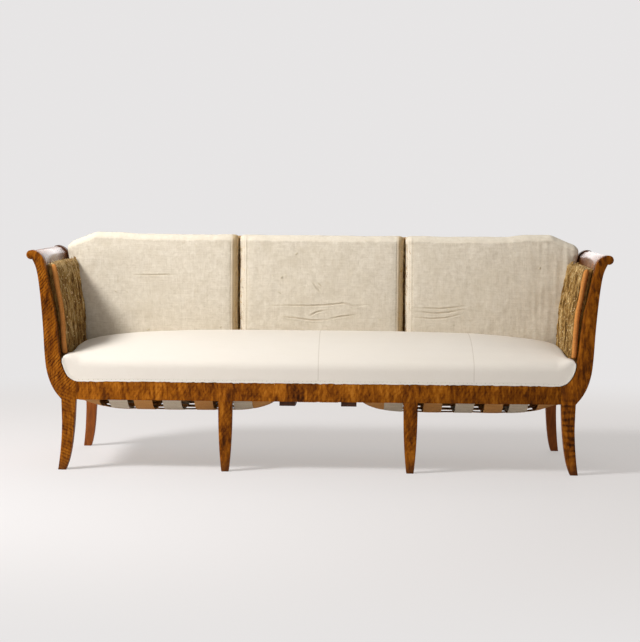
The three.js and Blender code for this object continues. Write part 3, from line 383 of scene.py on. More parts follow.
linenSet = {
    "rough": 0.92, "shine": 0.06, "relief": 0.7, "bumpHeight": 0.0009,
    "threads": ((620, 620, 20), (20, 620, 620)), "threadNoise": (1.0, 3.0, 0.6), "threadShare": 0.70,
    "slubs": ((230, 230, 14), (11, 210, 210)), "slubNoise": (1.0, 2.0, 0.5), "slubShare": 0.30,
    "mottleNoise": (60.0, 4.0, 0.7, 0.6), "mottle": 0.55, "shadeAt": 0.30, "baseAt": 0.64,
    "cloudNoise": (7.0, 5.0, 0.65, 0.4), "cloudFade": (0.46, 0.72), "cloud": (0.60, 0.525, 0.40),
    "cloudShare": 0.40, "rimShare": 0.42,
    "speckNoise": (120.0, 3.0, 0.7), "speckTones": {0.22: 0.72, 0.31: 1.0},
    # tan: painted shade on a pad's end that faces away from the key light, in the band given below
    "tan": (0.52, 0.365, 0.175), "tanShare": 0.85,
    "tanFrom": -0.032, "tanFull": -0.014, "tanTo": (0.004, 0.006),   # measured from the pad's end
    # fold: the colour of the painted shade in the creases and along the stitched rows
    "fold": (0.44, 0.34, 0.22), "foldShare": 0.60,
}


def linenFinish(name, base, shade, border, shadedEnds):
    # Coarse linen: thick and thin threads both ways, with painted shade in the folds, cream along the
    # stitched border and painted light on the top band and faces turned upwards
    look = linenSet
    s = Shader(name, look["rough"], look["shine"])

    def crossed(scales, threadNoise):   # threads one way and the other
        one, other = (s.noise(s.mapping(scale=scale), *threadNoise) * 0.5 for scale in scales)
        return one + other

    threads = crossed(look["threads"], look["threadNoise"])
    slubs = crossed(look["slubs"], look["slubNoise"])
    weave = threads * look["threadShare"] + slubs * look["slubShare"]
    mottled = weave + (s.noise(s.place, *look["mottleNoise"]) - 0.5) * look["mottle"]
    cloth = s.ramp(mottled, {look["shadeAt"]: shade, look["baseAt"]: base})
    cloudy = s.fade(s.noise(s.place, *look["cloudNoise"]), *look["cloudFade"])
    cloth = s.mix(cloudy * look["cloudShare"], cloth, look["cloud"])
    # rim: the cream stitched border along the gaps, and painted light on the top band and on faces turned
    # upwards
    cloth = s.mix(s.attribute("rim") * look["rimShare"], cloth, border)
    for end in shadedEnds:   # the pad's end that lies in the gap and faces away from the key light gets a tan: painted shade
        starts = s.fade(s.axis("X"), end + look["tanFrom"], end + look["tanFull"])
        ends = 1.0 - s.fade(s.axis("X"), *(end + reach for reach in look["tanTo"]))
        cloth = s.mix(starts * ends * look["tanShare"], cloth, look["tan"])
    # painted shade in the creases and along the stitched rows
    cloth = s.mix(s.attribute("crease") * look["foldShare"], cloth, look["fold"])
    specks = s.ramp(s.noise(s.place, *look["speckNoise"]), look["speckTones"])
    return s.finish(s.mix(1.0, cloth, specks, "MULTIPLY"), (weave, look["relief"], look["bumpHeight"]))


# Stuffing: each strand has its own tone, and the mat under it has dark and light tufts

fibreTones = ((0.042, 0.018, 0.005), (0.165, 0.082, 0.022), (0.345, 0.192, 0.055),
              (0.520, 0.325, 0.110), (0.760, 0.570, 0.290))
palerFrom, palerTo, paler = 0.66, 0.745, 0.20   # the stuffing is paler towards the top of the arm


def strandFinish(name, low, high):
    s = Shader(name, 0.85, 0.10)
    patch = s.fade(s.noise(s.mapping(scale=(1, 1, 0.35)), 30.0, 4.0, 0.7, 0.6), 0.30, 0.72)
    level = s.attribute("tone") * 0.45 + patch * 0.68
    level = s.fade(s.axis("Z"), palerFrom, palerTo) * paler + level
    tones = dict(zip((0.12, 0.36, 0.56, 0.76, 0.98), fibreTones))
    return s.finish(s.ramp(level * (high - low) + low, tones))


def matFinish(name):
    s = Shader(name, 0.95, 0.05)
    tufts = s.noise(s.mapping(scale=(1, 1, 0.3)), 170.0, 5.0, 0.7, 0.8)
    tones = dict(zip((0.25, 0.42, 0.55, 0.68, 0.85), fibreTones))
    return s.finish(s.ramp(tufts, tones), (tufts, 1.0, 0.004))


def steelFinish(name):   # dull wire with rust in patches
    s = Shader(name, 0.45, 0.5)
    rust = s.ramp(s.noise(s.place, 70.0, 5.0, 0.65), {0.48: 0.0, 0.62: 1.0})
    return s.finish(s.mix(rust, (0.30, 0.30, 0.31), (0.14, 0.060, 0.025)), (rust, 0.3, 0.0003),
                    Metallic=0.9 - rust * 0.8, Roughness=rust * 0.4 + 0.38)


finishes = {name: flameBirch(name, board) for name, board in flames.items()}
finishes |= {
    "stained": plainWood("stained_birch", (0.100, 0.024, 0.005), (0.400, 0.115, 0.018), 0.55),
    "darkened": plainWood("darkened_birch", (0.020, 0.008, 0.004), (0.105, 0.038, 0.015), 0.5),
    "brace": plainWood("brace_wood", (0.030, 0.012, 0.007), (0.095, 0.040, 0.022), 0.6, (90, 0, 0)),
    "pine": plainWood("sawn_pine", (0.330, 0.180, 0.075), (0.560, 0.370, 0.190), 0.7, (0, 90, 0)),
    "thread": plainWood("thread", (0.200, 0.130, 0.070), (0.420, 0.300, 0.180), 0.9,
                        grainScale=(400, 400, 400)),
    "tack": plainWood("tack_heads", (0.150, 0.105, 0.075), (0.420, 0.340, 0.260), 0.6,
                      grainScale=(300, 300, 300)),
    "muslin": woven("muslin", (0.77, 0.715, 0.64), (0.72, 0.66, 0.58), 900.0, 0.0003, 0.5,
                    (0.74, 0.66, 0.53), 0.05, seams=(0.559, 0.0)),
    "hessian": woven("hessian", (0.50, 0.290, 0.125), (0.26, 0.135, 0.050), 420.0, 0.0012, 0.35,
                     (0.30, 0.17, 0.07), 0.15),
    "burlap": woven("burlap", (0.80, 0.345, 0.092), (0.38, 0.130, 0.026), 420.0, 0.0012, 0.35,
                    (0.22, 0.10, 0.035), 0.15),
    "webbing_jute": woven("jute_web", (0.58, 0.290, 0.095), (0.30, 0.130, 0.036), 360.0, 0.0012, 0.35,
                          (0.30, 0.13, 0.04), 0.15),
    "webbing_linen": woven("linen_web", (0.62, 0.54, 0.42), (0.36, 0.29, 0.20), 380.0, 0.0012, 0.35,
                           (0.48, 0.38, 0.25), 0.12),
    # the hem is a darker copy of the muslin: painted shade, as its face turns more to the key light than the
    # seat's front
    "hem": woven("raw_muslin", (0.76, 0.71, 0.635), (0.64, 0.585, 0.50), 900.0, 0.0004, 0.5,
                 (0.80, 0.74, 0.64), 0.05),
    "slub": woven("cream_thread", (0.82, 0.75, 0.60), (0.62, 0.53, 0.36), 900.0, 0.0003, 0.5,
                  (0.7, 0.6, 0.4), 0.05),
    # the right-hand ends of the left and middle pads carry painted shade
    "linen": linenFinish("linen", (0.76, 0.69, 0.575), (0.565, 0.49, 0.375), (0.84, 0.75, 0.61),
                         [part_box("back_pad_" + place)[1][0] for place in ("left", "middle")]),
    "steel": steelFinish("spring_wire"),
    "fibre": strandFinish("fibre", 0.0, 1.0),
    "fleck": strandFinish("fleck", 0.95, 1.3),
    "wisp": strandFinish("wisp", 0.35, 1.15),
    "matBase": matFinish("fibre_mat"),
}
print("materials made:", len(finishes))


# Mesh helpers

weldWithin, sliverWithin = 0.00002, 0.00001   # points this close become one, and edges this short go
tiny = 1e-6   # a length that counts as none
rayStart = 0.5   # how far in front of a surface a ray sets out


def rideRoot(piece):
    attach(piece, "root")
    return piece


def newPiece(name, mesh, material):
    mesh.materials.clear()
    mesh.materials.append(material)
    return rideRoot(newObject(name, mesh))


@contextmanager
def edited(mesh):
    shape = bmesh.new()
    shape.from_mesh(mesh)
    yield shape
    shape.to_mesh(mesh)
    shape.free()


def mergedCopy(node, name):
    mesh = nodes[node].data.copy()
    mesh.name = name
    with edited(mesh) as shape:
        bmesh.ops.remove_doubles(shape, verts=shape.verts, dist=weldWithin)
        bmesh.ops.dissolve_degenerate(shape, edges=shape.edges, dist=sliverWithin)
    return mesh


def applied(piece):
    bpy.context.view_layer.update()
    graph = bpy.context.evaluated_depsgraph_get()
    mesh = bpy.data.meshes.new_from_object(piece.evaluated_get(graph))
    piece.modifiers.clear()
    piece.data = mesh
    return piece


def modified(piece, name, kind, **settings):
    # Adds one modifier and applies it
    modifier = piece.modifiers.new(name, kind)
    for key, value in settings.items():
        setattr(modifier, key, value)
    return applied(piece)


def smoothByAngle(mesh, degrees):
    mesh.shade_smooth()
    limit = math.radians(degrees)
    with edited(mesh) as shape:
        for edge in shape.edges:
            edge.smooth = len(edge.link_faces) == 2 and edge.calc_face_angle(0.0) < limit


def coordinates(mesh, attribute="co"):
    values = np.empty(len(mesh.vertices) * 3)
    mesh.vertices.foreach_get(attribute, values)
    return values.reshape(-1, 3)


def normalsOf(mesh):
    return coordinates(mesh, "normal")


def setCoordinates(mesh, co):
    mesh.vertices.foreach_set("co", co.reshape(-1))
    mesh.update()


def eased(t):   # 0 to 1 with soft ends
    return t * t * (3 - 2 * t)


def surfaceOf(mesh):
    return BVHTree.FromPolygons([v.co for v in mesh.vertices], [p.vertices for p in mesh.polygons])


# Geometry Nodes: a tree with named inputs, and its result turned into plain mesh

class Tree(Nodes):
    kinds = {int: "NodeSocketInt", float: "NodeSocketFloat", bpy.types.Material: "NodeSocketMaterial"}

    def __init__(self, name, sizes, material):
        super().__init__(bpy.data.node_groups.new(name, "GeometryNodeTree"))
        self.sizes = sizes | {"Material": material}
        sockets = self.tree.interface
        sockets.new_socket("Geometry", in_out="OUTPUT", socket_type="NodeSocketGeometry")
        sockets.new_socket("Geometry", in_out="INPUT", socket_type="NodeSocketGeometry")
        for key, value in self.sizes.items():
            sockets.new_socket(key, in_out="INPUT", socket_type=self.kinds[type(value)])
        self.given = self.node("NodeGroupInput")

    def vector(self, x, y, z):
        return self.node("ShaderNodeCombineXYZ", {0: x, 1: y, 2: z})

    def random(self, low, high, seed, kind="FLOAT"):
        first, result = {"FLOAT": (2, 1), "FLOAT_VECTOR": (0, 0)}[kind]   # the sockets for each kind
        inputs = {first: low, first + 1: high, "Seed": seed}
        return self.node("FunctionNodeRandomValue", inputs, data_type=kind)[result]

    def named(self, name, kind):
        return self.node("GeometryNodeInputNamedAttribute", {"Name": name}, data_type=kind)

    def standing(self, up, way):
        return self.node("FunctionNodeAxesToRotation", {"Primary Axis": up, "Secondary Axis": way},
                         primary_axis="Z", secondary_axis="X")

    def tube(self, curve, sides, radius):
        size = {"Resolution": sides, "Radius": radius}
        ring = self.node("GeometryNodeCurvePrimitiveCircle", size, mode="RADIUS")
        inputs = {"Curve": curve, "Profile Curve": ring, "Fill Caps": True}
        return self.node("GeometryNodeCurveToMesh", inputs)

    def moved(self, geometry, **others):
        return self.node("GeometryNodeSetPosition", {"Geometry": geometry} | others)

    def placed(self, points, shape, **others):
        return self.node("GeometryNodeInstanceOnPoints", {"Points": points, "Instance": shape} | others)

    def output(self, geometry):
        real = self.node("GeometryNodeRealizeInstances", {"Geometry": geometry})
        inputs = {"Geometry": real, "Material": self.given["Material"]}
        self.node("NodeGroupOutput", {"Geometry": self.node("GeometryNodeSetMaterial", inputs)})
        return self


def grown(name, host, tree):
    piece = newObject(name, host)
    modifier = piece.modifiers.new(name, "NODES")
    modifier.node_group = tree.tree
    for item in tree.tree.interface.items_tree:
        if item.in_out == "INPUT" and item.name in tree.sizes:
            modifier[item.identifier] = tree.sizes[item.name]
    return rideRoot(applied(piece))


# What all strands share: bends and sides, how far down they point, and how much their sizes vary
strandSet = {"bends": 5, "sides": 3, "down": (-1.0, -0.6), "lengths": (0.5, 1.5), "widths": (0.6, 1.5),
             "tip": 0.2, "curlDetail": 1.0}


def strandTree(name, sizes, material):
    # Tapered strands scattered over the host and combed downwards, with a tone for each
    s = strandSet
    t = Tree(name, sizes, material)
    g = t.given
    points = t.node("GeometryNodeDistributePointsOnFaces",
                    {"Mesh": g["Geometry"], "Density": g["Density"], "Seed": g["Seed"]})
    lean = g["Lean"]
    less = lean * -1.0
    down, up = s["down"]
    way = t.random(t.vector(less, less, down), t.vector(lean, lean, up), 3, "FLOAT_VECTOR")
    line = t.node("GeometryNodeCurvePrimitiveLine", {"Start": (-0.5, 0, 0), "End": (0.5, 0, 0)})
    bends = t.node("GeometryNodeResampleCurve", {"Curve": line, "Count": s["bends"]})
    across = t.node("GeometryNodeSplineParameter")["Factor"] * 2.0 - 1.0
    hump = 1.0 - across * across
    arched = t.moved(bends, Offset=t.vector(0.0, 0.0, hump * g["Arch"]))
    radius = hump * (1 - s["tip"]) + s["tip"]
    tapered = t.node("GeometryNodeSetCurveRadius", {"Curve": arched, "Radius": radius})
    size = t.vector(g["Length"] * t.random(*s["lengths"], 4), t.random(*s["widths"], 5), 1.0)
    strands = t.placed(points["Points"], t.tube(tapered, s["sides"], g["Width"] * 0.5),
                       Rotation=t.standing(points["Normal"], way), Scale=size)
    toned = t.node("GeometryNodeStoreNamedAttribute",
                   {"Geometry": strands, "Name": "tone", "Value": t.random(0.0, 1.0, 6)},
                   data_type="FLOAT", domain="INSTANCE")
    real = t.node("GeometryNodeRealizeInstances", {"Geometry": toned})
    place = t.node("GeometryNodeInputPosition")
    curl = {"Vector": place, "Scale": g["Curl scale"], "Detail": s["curlDetail"]}
    wobble = t.node("ShaderNodeTexNoise", curl)["Color"]
    centred = t.node("ShaderNodeVectorMath", {0: wobble, 1: (0.5, 0.5, 0.5)}, operation="SUBTRACT")
    pushed = t.node("ShaderNodeVectorMath", {0: centred, "Scale": g["Curl"]}, operation="SCALE")
    return t.output(t.moved(real, Offset=pushed))


# Frame timber: every board keeps its CAD shape, with its curved edges drawn fair and its corners eased

timber = {
    "birchLeft": ("birch_polished", ["arm_upright_front_left", "leg_front_left"]),
    "birchRight": ("birch_polished", ["arm_upright_front_right", "leg_front_right"]),
    "birchRail": ("birch_polished", ["front_rail", "leg_middle_left", "leg_middle_right"]),
    "birchArm": ("birch_polished", ["arm_top_rail_left", "arm_top_rail_right"]),
    "stained": ("birch_plain", ["back_seat_rail", "leg_rear_left", "leg_rear_right", "side_rail_left",
                                "side_rail_right", "arm_panel_left", "arm_panel_right"]),
    "darkened": ("birch_plain", ["arm_upright_rear_left", "arm_upright_rear_right"]),
    "brace": ("birch_plain", ["cross_brace_left", "cross_brace_right"]),
    "pine": ("pine", ["back_top_rail", "back_bottom_rail", "back_stile_left", "back_stile_right",
                      "back_muntin_left", "back_muntin_right"]),
}
boardSet = {
    "ease": 0.0016, "segments": 2, "fromAngle": 38, "cornerAngle": 34, "legCornerAngle": 89, "steps": 4,
    "level": 0.0006,   # how close two heights are the same ring
    "straight": 2,   # degrees of turn below which an edge is left straight
    "nearFace": 0.0001, "nearJoint": 0.001, "underJoint": 0.0002,
}
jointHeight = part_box("front_rail")[0][2]   # legs and uprights meet here with no gap to see


def faired(points, closed, cornerAngle):
    # The same polyline with each arc drawn through more points; corners sharper than the angle stay
    count, steps = len(points), boardSet["steps"]
    points = [Vector(p) for p in points]

    def tangent(i):
        if not closed and i in (0, count - 1):
            return None
        before, after = points[i] - points[i - 1], points[(i + 1) % count] - points[i]
        if min(before.length, after.length) < tiny or before.angle(after) > math.radians(cornerAngle):
            return None
        return (before.normalized() * after.length + after.normalized() * before.length).normalized()

    tangents = [tangent(i) for i in range(count)]
    made = []
    for i in range(count if closed else count - 1):
        start, end = points[i], points[(i + 1) % count]
        chord = end - start
        ways = [tangents[i], tangents[(i + 1) % count]]
        made.append(start)
        if ways[0] is None and ways[1] is None:
            continue
        # a corner's own end of the arc mirrors the other end
        straight = chord.normalized()
        mirrored = [straight * 2 * straight.dot(w) - w if w else None for w in ways]
        leave, arrive = ways[0] or mirrored[1], ways[1] or mirrored[0]
        if closed and leave.angle(arrive) < math.radians(boardSet["straight"]):
            continue
        for k in range(1, steps):
            t = k / steps
            made.append(start * (2 * t ** 3 - 3 * t ** 2 + 1)
                        + leave * chord.length * (t ** 3 - 2 * t ** 2 + t)
                        + end * (3 * t ** 2 - 2 * t ** 3)
                        + arrive * chord.length * (t ** 3 - t ** 2))
    return made if closed else made + [points[-1]]


def frontOutline(mesh):
    # The ring of corners round the face that looks forward
    low = min(v.co.y for v in mesh.vertices)
    flat = {v.index for v in mesh.vertices if v.co.y < low + boardSet["nearFace"]}
    used = {}
    for face in mesh.polygons:
        corners = list(face.vertices)
        if all(v in flat for v in corners):
            used |= dict.fromkeys(zip(corners, corners[1:] + corners[:1]))
    after = {a: b for a, b in used if (b, a) not in used}
    ring = [next(iter(after))]
    while after[ring[-1]] != ring[0]:
        ring.append(after[ring[-1]])
    return [mesh.vertices[i].co.copy() for i in ring]


def fairUpright(mesh):
    # An upright is one thick board, so its front outline is all that it needs
    back = max(v.co.y for v in mesh.vertices)
    outline = faired(frontOutline(mesh), True, boardSet["cornerAngle"])
    count = len(outline)
    points = outline + [Vector((p.x, back, p.z)) for p in outline]
    faces = [list(range(count)), list(range(2 * count - 1, count - 1, -1))]
    faces += [[i, i + count, (i + 1) % count + count, (i + 1) % count] for i in range(count)]
    return newMesh(mesh.name, points, faces)


def fairLeg(mesh):
    # A leg is a stack of four-cornered rings, and each corner's path is drawn fair
    level, top = boardSet["level"], jointHeight - boardSet["underJoint"]
    heights = sorted({round(v.co.z / level) for v in mesh.vertices if v.co.z < top})
    tracks = [[] for _ in range(4)]
    for height in heights:
        ring = [v.co for v in mesh.vertices if round(v.co.z / level) == height]
        for track, (signX, signY) in zip(tracks, ((-1, -1), (1, -1), (1, 1), (-1, 1))):
            track.append(max(ring, key=lambda p: signX * p.x + signY * p.y).copy())
    rings = list(zip(*(faired(t, False, boardSet["legCornerAngle"]) for t in tracks)))
    points = [p for ring in rings for p in ring]
    faces = [[3, 2, 1, 0], [len(points) - 4 + k for k in range(4)]]
    for low in range(0, len(points) - 4, 4):
        faces += [[low + k, low + (k + 1) % 4, low + 4 + (k + 1) % 4, low + 4 + k] for k in range(4)]
    return newMesh(mesh.name, points, faces)


def easeEdges(piece):
    sharp = piece.data.attributes.new("bevel_weight_edge", "FLOAT", "EDGE").name
    limit = math.radians(boardSet["fromAngle"])
    with edited(piece.data) as shape:
        bmesh.ops.recalc_face_normals(shape, faces=shape.faces)
        weight = shape.edges.layers.float.get(sharp)
        for edge in shape.edges:
            atJoint = all(abs(v.co.z - jointHeight) < boardSet["nearJoint"] for v in edge.verts)
            if len(edge.link_faces) == 2 and edge.calc_face_angle(0.0) > limit and not atJoint:
                edge[weight] = 1.0
    modified(piece, "eased_edges", "BEVEL", width=boardSet["ease"], segments=boardSet["segments"],
             limit_method="WEIGHT", use_clamp_overlap=True)


def dressTimber():
    for finish, (slot, names) in timber.items():
        for node in names:
            mesh = mergedCopy(node, node + "_board")
            if node.startswith("arm_upright"):
                mesh = fairUpright(mesh)
            elif node.startswith("leg_"):
                mesh = fairLeg(mesh)
            piece = newPiece(node + "_board", mesh, finishes[finish])
            easeEdges(piece)
            smoothByAngle(piece.data, boardSet["fromAngle"])
            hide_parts(node)


dressTimber()
print("timber dressed")


# Stuffed pieces: remeshed from their CAD solids, swollen as cloth, then creased

swellSet = {"pressure": 4.0, "frames": 20, "quality": 4, "soften": 0.5, "softenSteps": 6}


def stuffed(node, name, voxel, cap=0.0):
    piece = newObject(name, mergedCopy(node, name))
    modified(piece, "even_mesh", "REMESH", mode="VOXEL", voxel_size=voxel)
    modified(piece, "soften", "SMOOTH", factor=swellSet["soften"], iterations=swellSet["softenSteps"])
    piece.data.shade_smooth()
    if cap:
        swell(piece, cap)
    return piece


def swell(piece, cap):
    s = swellSet
    start = coordinates(piece.data)
    cloth = piece.modifiers.new("swelling", "CLOTH")
    cloth.settings.use_pressure = True
    cloth.settings.uniform_pressure_force = s["pressure"]
    cloth.settings.effector_weights.gravity = 0
    cloth.settings.quality = s["quality"]
    cloth.collision_settings.use_collision = False
    cloth.point_cache.frame_start = 1
    cloth.point_cache.frame_end = s["frames"]
    for number in range(1, s["frames"] + 1):
        scene.frame_set(number)
    moved = coordinates(piece.evaluated_get(bpy.context.evaluated_depsgraph_get()).data)
    piece.modifiers.clear()
    scene.frame_set(1)
    step = moved - start
    length = np.linalg.norm(step, axis=1, keepdims=True)
    setCoordinates(piece.data, start + step * np.minimum(1.0, cap / np.maximum(length, tiny)))


def finishPadded(piece, node, finish):
    piece.data.materials.clear()
    piece.data.materials.append(finishes[finish])
    rideRoot(piece)
    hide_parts(node)


def refine(piece):
    # One smooth subdivision
    modified(piece, "finer", "SUBSURF", levels=1, render_levels=1)
    piece.data.shade_smooth()


def lumpy(mesh, height, scale, seed=0.0):
    # Moves each point along its normal by slow noise
    co = coordinates(mesh)
    waves = np.array([noise.noise(Vector(p)) for p in co * np.array(scale) + seed])
    setCoordinates(mesh, co + normalsOf(mesh) * (waves * height)[:, None])


def facesOf(mesh, name, wanted):
    # A copy of the mesh with only the wanted faces
    part = mesh.copy()
    part.name = name
    with edited(part) as shape:
        bmesh.ops.delete(shape, geom=[f for f in shape.faces if not wanted(f)], context="FACES")
    return part


def addLayer(mesh, name, values):
    mesh.attributes.new(name, "FLOAT", "POINT").data.foreach_set("value", values)


# Stitches, tacks and other small things set one by one along a path on a surface

def pointHost(name, points, ways, ups):
    host = newMesh(name, [tuple(p) for p in points])
    for key, values in (("way", ways), ("up", ups)):
        layer = host.attributes.new(key, "FLOAT_VECTOR", "POINT")
        layer.data.foreach_set("vector", [c for v in values for c in v])
    return host


beadSet = {"segments": 6, "rings": 4, "tilt": 0.35, "lengths": (0.75, 1.25)}


def beadTree(name, sizes, material):
    # One rounded bead for each point of the host, long along its way and standing on its up
    s = beadSet
    t = Tree(name, sizes, material)
    g = t.given
    ball = {"Segments": s["segments"], "Rings": s["rings"], "Radius": 0.5}
    bead = t.node("GeometryNodeMeshUVSphere", ball)
    turn = t.standing(t.named("up", "FLOAT_VECTOR"), t.named("way", "FLOAT_VECTOR"))
    twist = {"Rotation": turn, "Rotate By": t.vector(0.0, 0.0, t.random(-s["tilt"], s["tilt"], 2))}
    tilt = t.node("FunctionNodeRotateRotation", twist, rotation_space="LOCAL")
    size = t.vector(g["Length"] * t.random(*s["lengths"], 3), g["Width"], g["Height"])
    return t.output(t.placed(g["Geometry"], bead, Rotation=tilt, Scale=size))


def pathOn(surface, points, spacing, way, lift):
    # Points spaced along a polyline and dropped onto a surface, with the path's way and the surface's up
    points = [Vector(p) for p in points]
    found = []
    for a, b in zip(points, points[1:]):
        steps = max(1, round((b - a).length / spacing))
        for k in range(steps):
            start = a + (b - a) * (k / steps)
            hit, normal, _, _ = surface.ray_cast(start - way * rayStart, way)
            if hit:
                found.append((hit + normal * lift, (b - a).normalized(), normal))
    return found


# Back pads: slack linen over hair, creased, with a stitched cream border

pads = {place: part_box("back_pad_" + place) for place in ("left", "middle", "right")}
padSet = {
    "voxel": 0.0060, "cap": 0.006, "fill": 0.8, "slack": 0.0022, "slackScale": (9.0, 9.0, 13.0),
    "fine": 0.0009, "fineScale": (38.0, 38.0, 30.0), "backClear": 0.001,
    "crease": 0.0026, "creaseWidth": 0.0022, "creaseEnds": (0.06, 0.90), "ridge": 0.55, "ridgeAway": 2.4,
    # the cream border reaches this far from a gap; topBorder and topFacing give where painted light from
    # above turns the top band and faces turned upwards cream
    "border": 0.029, "borderFade": 0.006, "topBorder": 0.012, "topFacing": 0.25,
    "rows": (0.009, 0.018, 0.029), "rowDepth": 0.0016, "rowShade": 0.5,
    "gap": 0.0035, "gapReach": 0.07, "gapSide": 0.5,   # an end nearer the middle than this lies at a gap
    "wrinkleFrom": 0.70, "wrinkleFade": 0.15, "wrinkle": 0.0016, "wrinkleScale": (62.0, 10.0, 5.0),
    "stitch": {"Length": 0.0034, "Width": 0.0011, "Height": 0.0010}, "spacing": 0.0072,
    "stitchLift": 0.0001, "stitchDepth": 0.19, "stitchEnds": (0.02, 0.03),
    "frontFacing": -0.8, "frayFacing": 0.7, "fraySide": 0.4, "frayDepth": 0.225,
    "slubs": {"Density": 80.0, "Length": 0.009, "Width": 0.0024, "Arch": 0.0006, "Lean": 3.0,
              "Curl": 0.012, "Curl scale": 60.0, "Seed": 12},
    "fray": {"Density": 5200.0, "Length": 0.014, "Width": 0.0011, "Arch": 0.0030, "Lean": 1.4,
             "Curl": 0.012, "Curl scale": 70.0, "Seed": 5},
}
shoulderSet = {"from": 0.700, "fade": 0.085, "fromHeight": 0.715, "heightFade": 0.070,
               "out": 0.80, "up": 0.60, "full": {"left": 0.010, "right": 0.016}}
# Creases in the linen, as places across and up on the pads' front
creases = {
    "left": [[(-0.729, 0.682), (-0.644, 0.683), (-0.566, 0.685)]],
    "middle": [
        [(-0.218, 0.566), (-0.130, 0.570), (-0.050, 0.569), (0.030, 0.574), (0.085, 0.581), (0.130, 0.569),
         (0.190, 0.577)],
        [(-0.150, 0.527), (-0.090, 0.520), (-0.030, 0.513), (0.030, 0.516)],
        [(-0.045, 0.530), (-0.020, 0.545), (0.020, 0.553)],
        [(0.030, 0.519), (0.080, 0.530), (0.130, 0.535)],
        [(-0.033, 0.661), (-0.020, 0.640), (-0.003, 0.622)],
    ],
    "right": [
        [(0.352, 0.566), (0.450, 0.563), (0.500, 0.567), (0.564, 0.575)],
        [(0.352, 0.551), (0.440, 0.545), (0.490, 0.549), (0.555, 0.562)],
        [(0.352, 0.530), (0.420, 0.524), (0.480, 0.528), (0.552, 0.545)],
    ],
}
farAway = 9.0   # more than any distance on the sofa


def distanceTo(line, x, z):
    # How far each place is from a polyline in the plane of the front, and how strong the crease is there
    least, strength = np.full(len(x), farAway), np.zeros(len(x))
    first, span = padSet["creaseEnds"]
    for number, ((x0, z0), (x1, z1)) in enumerate(zip(line, line[1:])):
        along = ((x - x0) * (x1 - x0) + (z - z0) * (z1 - z0)) / ((x1 - x0) ** 2 + (z1 - z0) ** 2)
        t = np.clip(along, 0.0, 1.0)
        away = np.hypot(x - x0 - t * (x1 - x0), z - z0 - t * (z1 - z0))
        nearer = away < least
        least = np.where(nearer, away, least)
        here = np.sin(np.pi * (first + span * (number + t) / (len(line) - 1)))
        strength = np.where(nearer, here, strength)
    return least, strength


def creasePad(mesh, place):
    # Presses the creases and the stitched rows into the front, and marks where painted shade goes in the
    # fold lines and rows, and the border with its painted light on the top
    s = padSet
    co, normals = coordinates(mesh), normalsOf(mesh)
    x, z, front = co[:, 0], co[:, 2], np.clip(-normals[:, 1], 0.0, 1.0)
    low, high = x.min(), x.max()
    fold = np.zeros(len(x))
    ridge = np.zeros(len(x))
    for line in creases[place]:
        away, strength = distanceTo(line, x, z)
        away /= s["creaseWidth"]
        fold = np.maximum(fold, strength * np.exp(-away ** 2))
        ridge = np.maximum(ridge, strength * np.exp(-(away - s["ridgeAway"]) ** 2))
    gapSides = {"left": [high], "middle": [low, high], "right": [low]}[place]
    edge = np.min([np.abs(x - side) for side in gapSides], axis=0)
    row = np.max([np.exp(-((edge - r) / s["creaseWidth"]) ** 2) for r in s["rows"]], axis=0)
    push = front * (s["crease"] * (fold - s["ridge"] * ridge) + s["rowDepth"] * row)
    if high > s["wrinkleFrom"]:   # the outer end of the right pad hangs in upright wrinkles
        outer = np.clip((x - s["wrinkleFrom"]) / s["wrinkleFade"], 0.0, 1.0)
        waves = np.array([noise.noise(Vector(c * k for c, k in zip(p, s["wrinkleScale"]))) for p in co])
        push += front * outer * s["wrinkle"] * waves
    co[:, 1] += push
    setCoordinates(mesh, co)
    # the crease layer carries painted shade in the folds and along the stitched rows
    addLayer(mesh, "crease", np.clip(fold * front + s["rowShade"] * row * front, 0.0, 1.0))
    # faces turned upwards and a band along the top get the cream too: painted light from above; along the
    # gaps the cream is the stitched border itself
    top = z.max() if place == "middle" else pads["middle"][1][2]
    sloped = np.minimum(edge, np.where(normals[:, 2] > s["topFacing"], 0.0, farAway))
    sloped = np.minimum(sloped, top - z + s["topBorder"])
    addLayer(mesh, "rim", np.clip((s["border"] - sloped) / s["borderFade"], 0.0, 1.0))


def meetAtGaps(mesh, place):
    # The swollen pads almost touch: the ends at a gap are drawn out to leave only a thin dark line
    s = padSet
    co = coordinates(mesh)
    lowX, highX = pads[place][0][0], pads[place][1][0]
    ends = {"left": [(highX, 1)], "middle": [(lowX, -1), (highX, 1)], "right": [(lowX, -1)]}[place]
    for end, way in ends:
        others = [box[1 if way < 0 else 0][0] for box in pads.values()]
        other = min(others, key=lambda x: abs(x - end))
        target = (end + other) / 2 - way * s["gap"] / 2
        reached = (co[:, 0] * way).max() * way
        away = np.abs(co[:, 0] - reached)
        co[:, 0] += (target - reached) * np.clip(1 - away / s["gapReach"], 0, 1)
    setCoordinates(mesh, co)


def fillShoulder(mesh, place):
    # The outer upper corner stands full and round
    s = shoulderSet
    co = coordinates(mesh)
    across = np.clip((np.abs(co[:, 0]) - s["from"]) / s["fade"], 0, 1)
    weight = eased(across * np.clip((co[:, 2] - s["fromHeight"]) / s["heightFade"], 0, 1)) * s["full"][place]
    co[:, 0] += sides[place] * s["out"] * weight
    co[:, 2] += s["up"] * weight
    setCoordinates(mesh, co)


def flatBehind(mesh, place):   # the back stays flat against the hessian
    co = coordinates(mesh)
    co[:, 1] = np.minimum(co[:, 1], pads[place][1][1] - padSet["backClear"])
    setCoordinates(mesh, co)


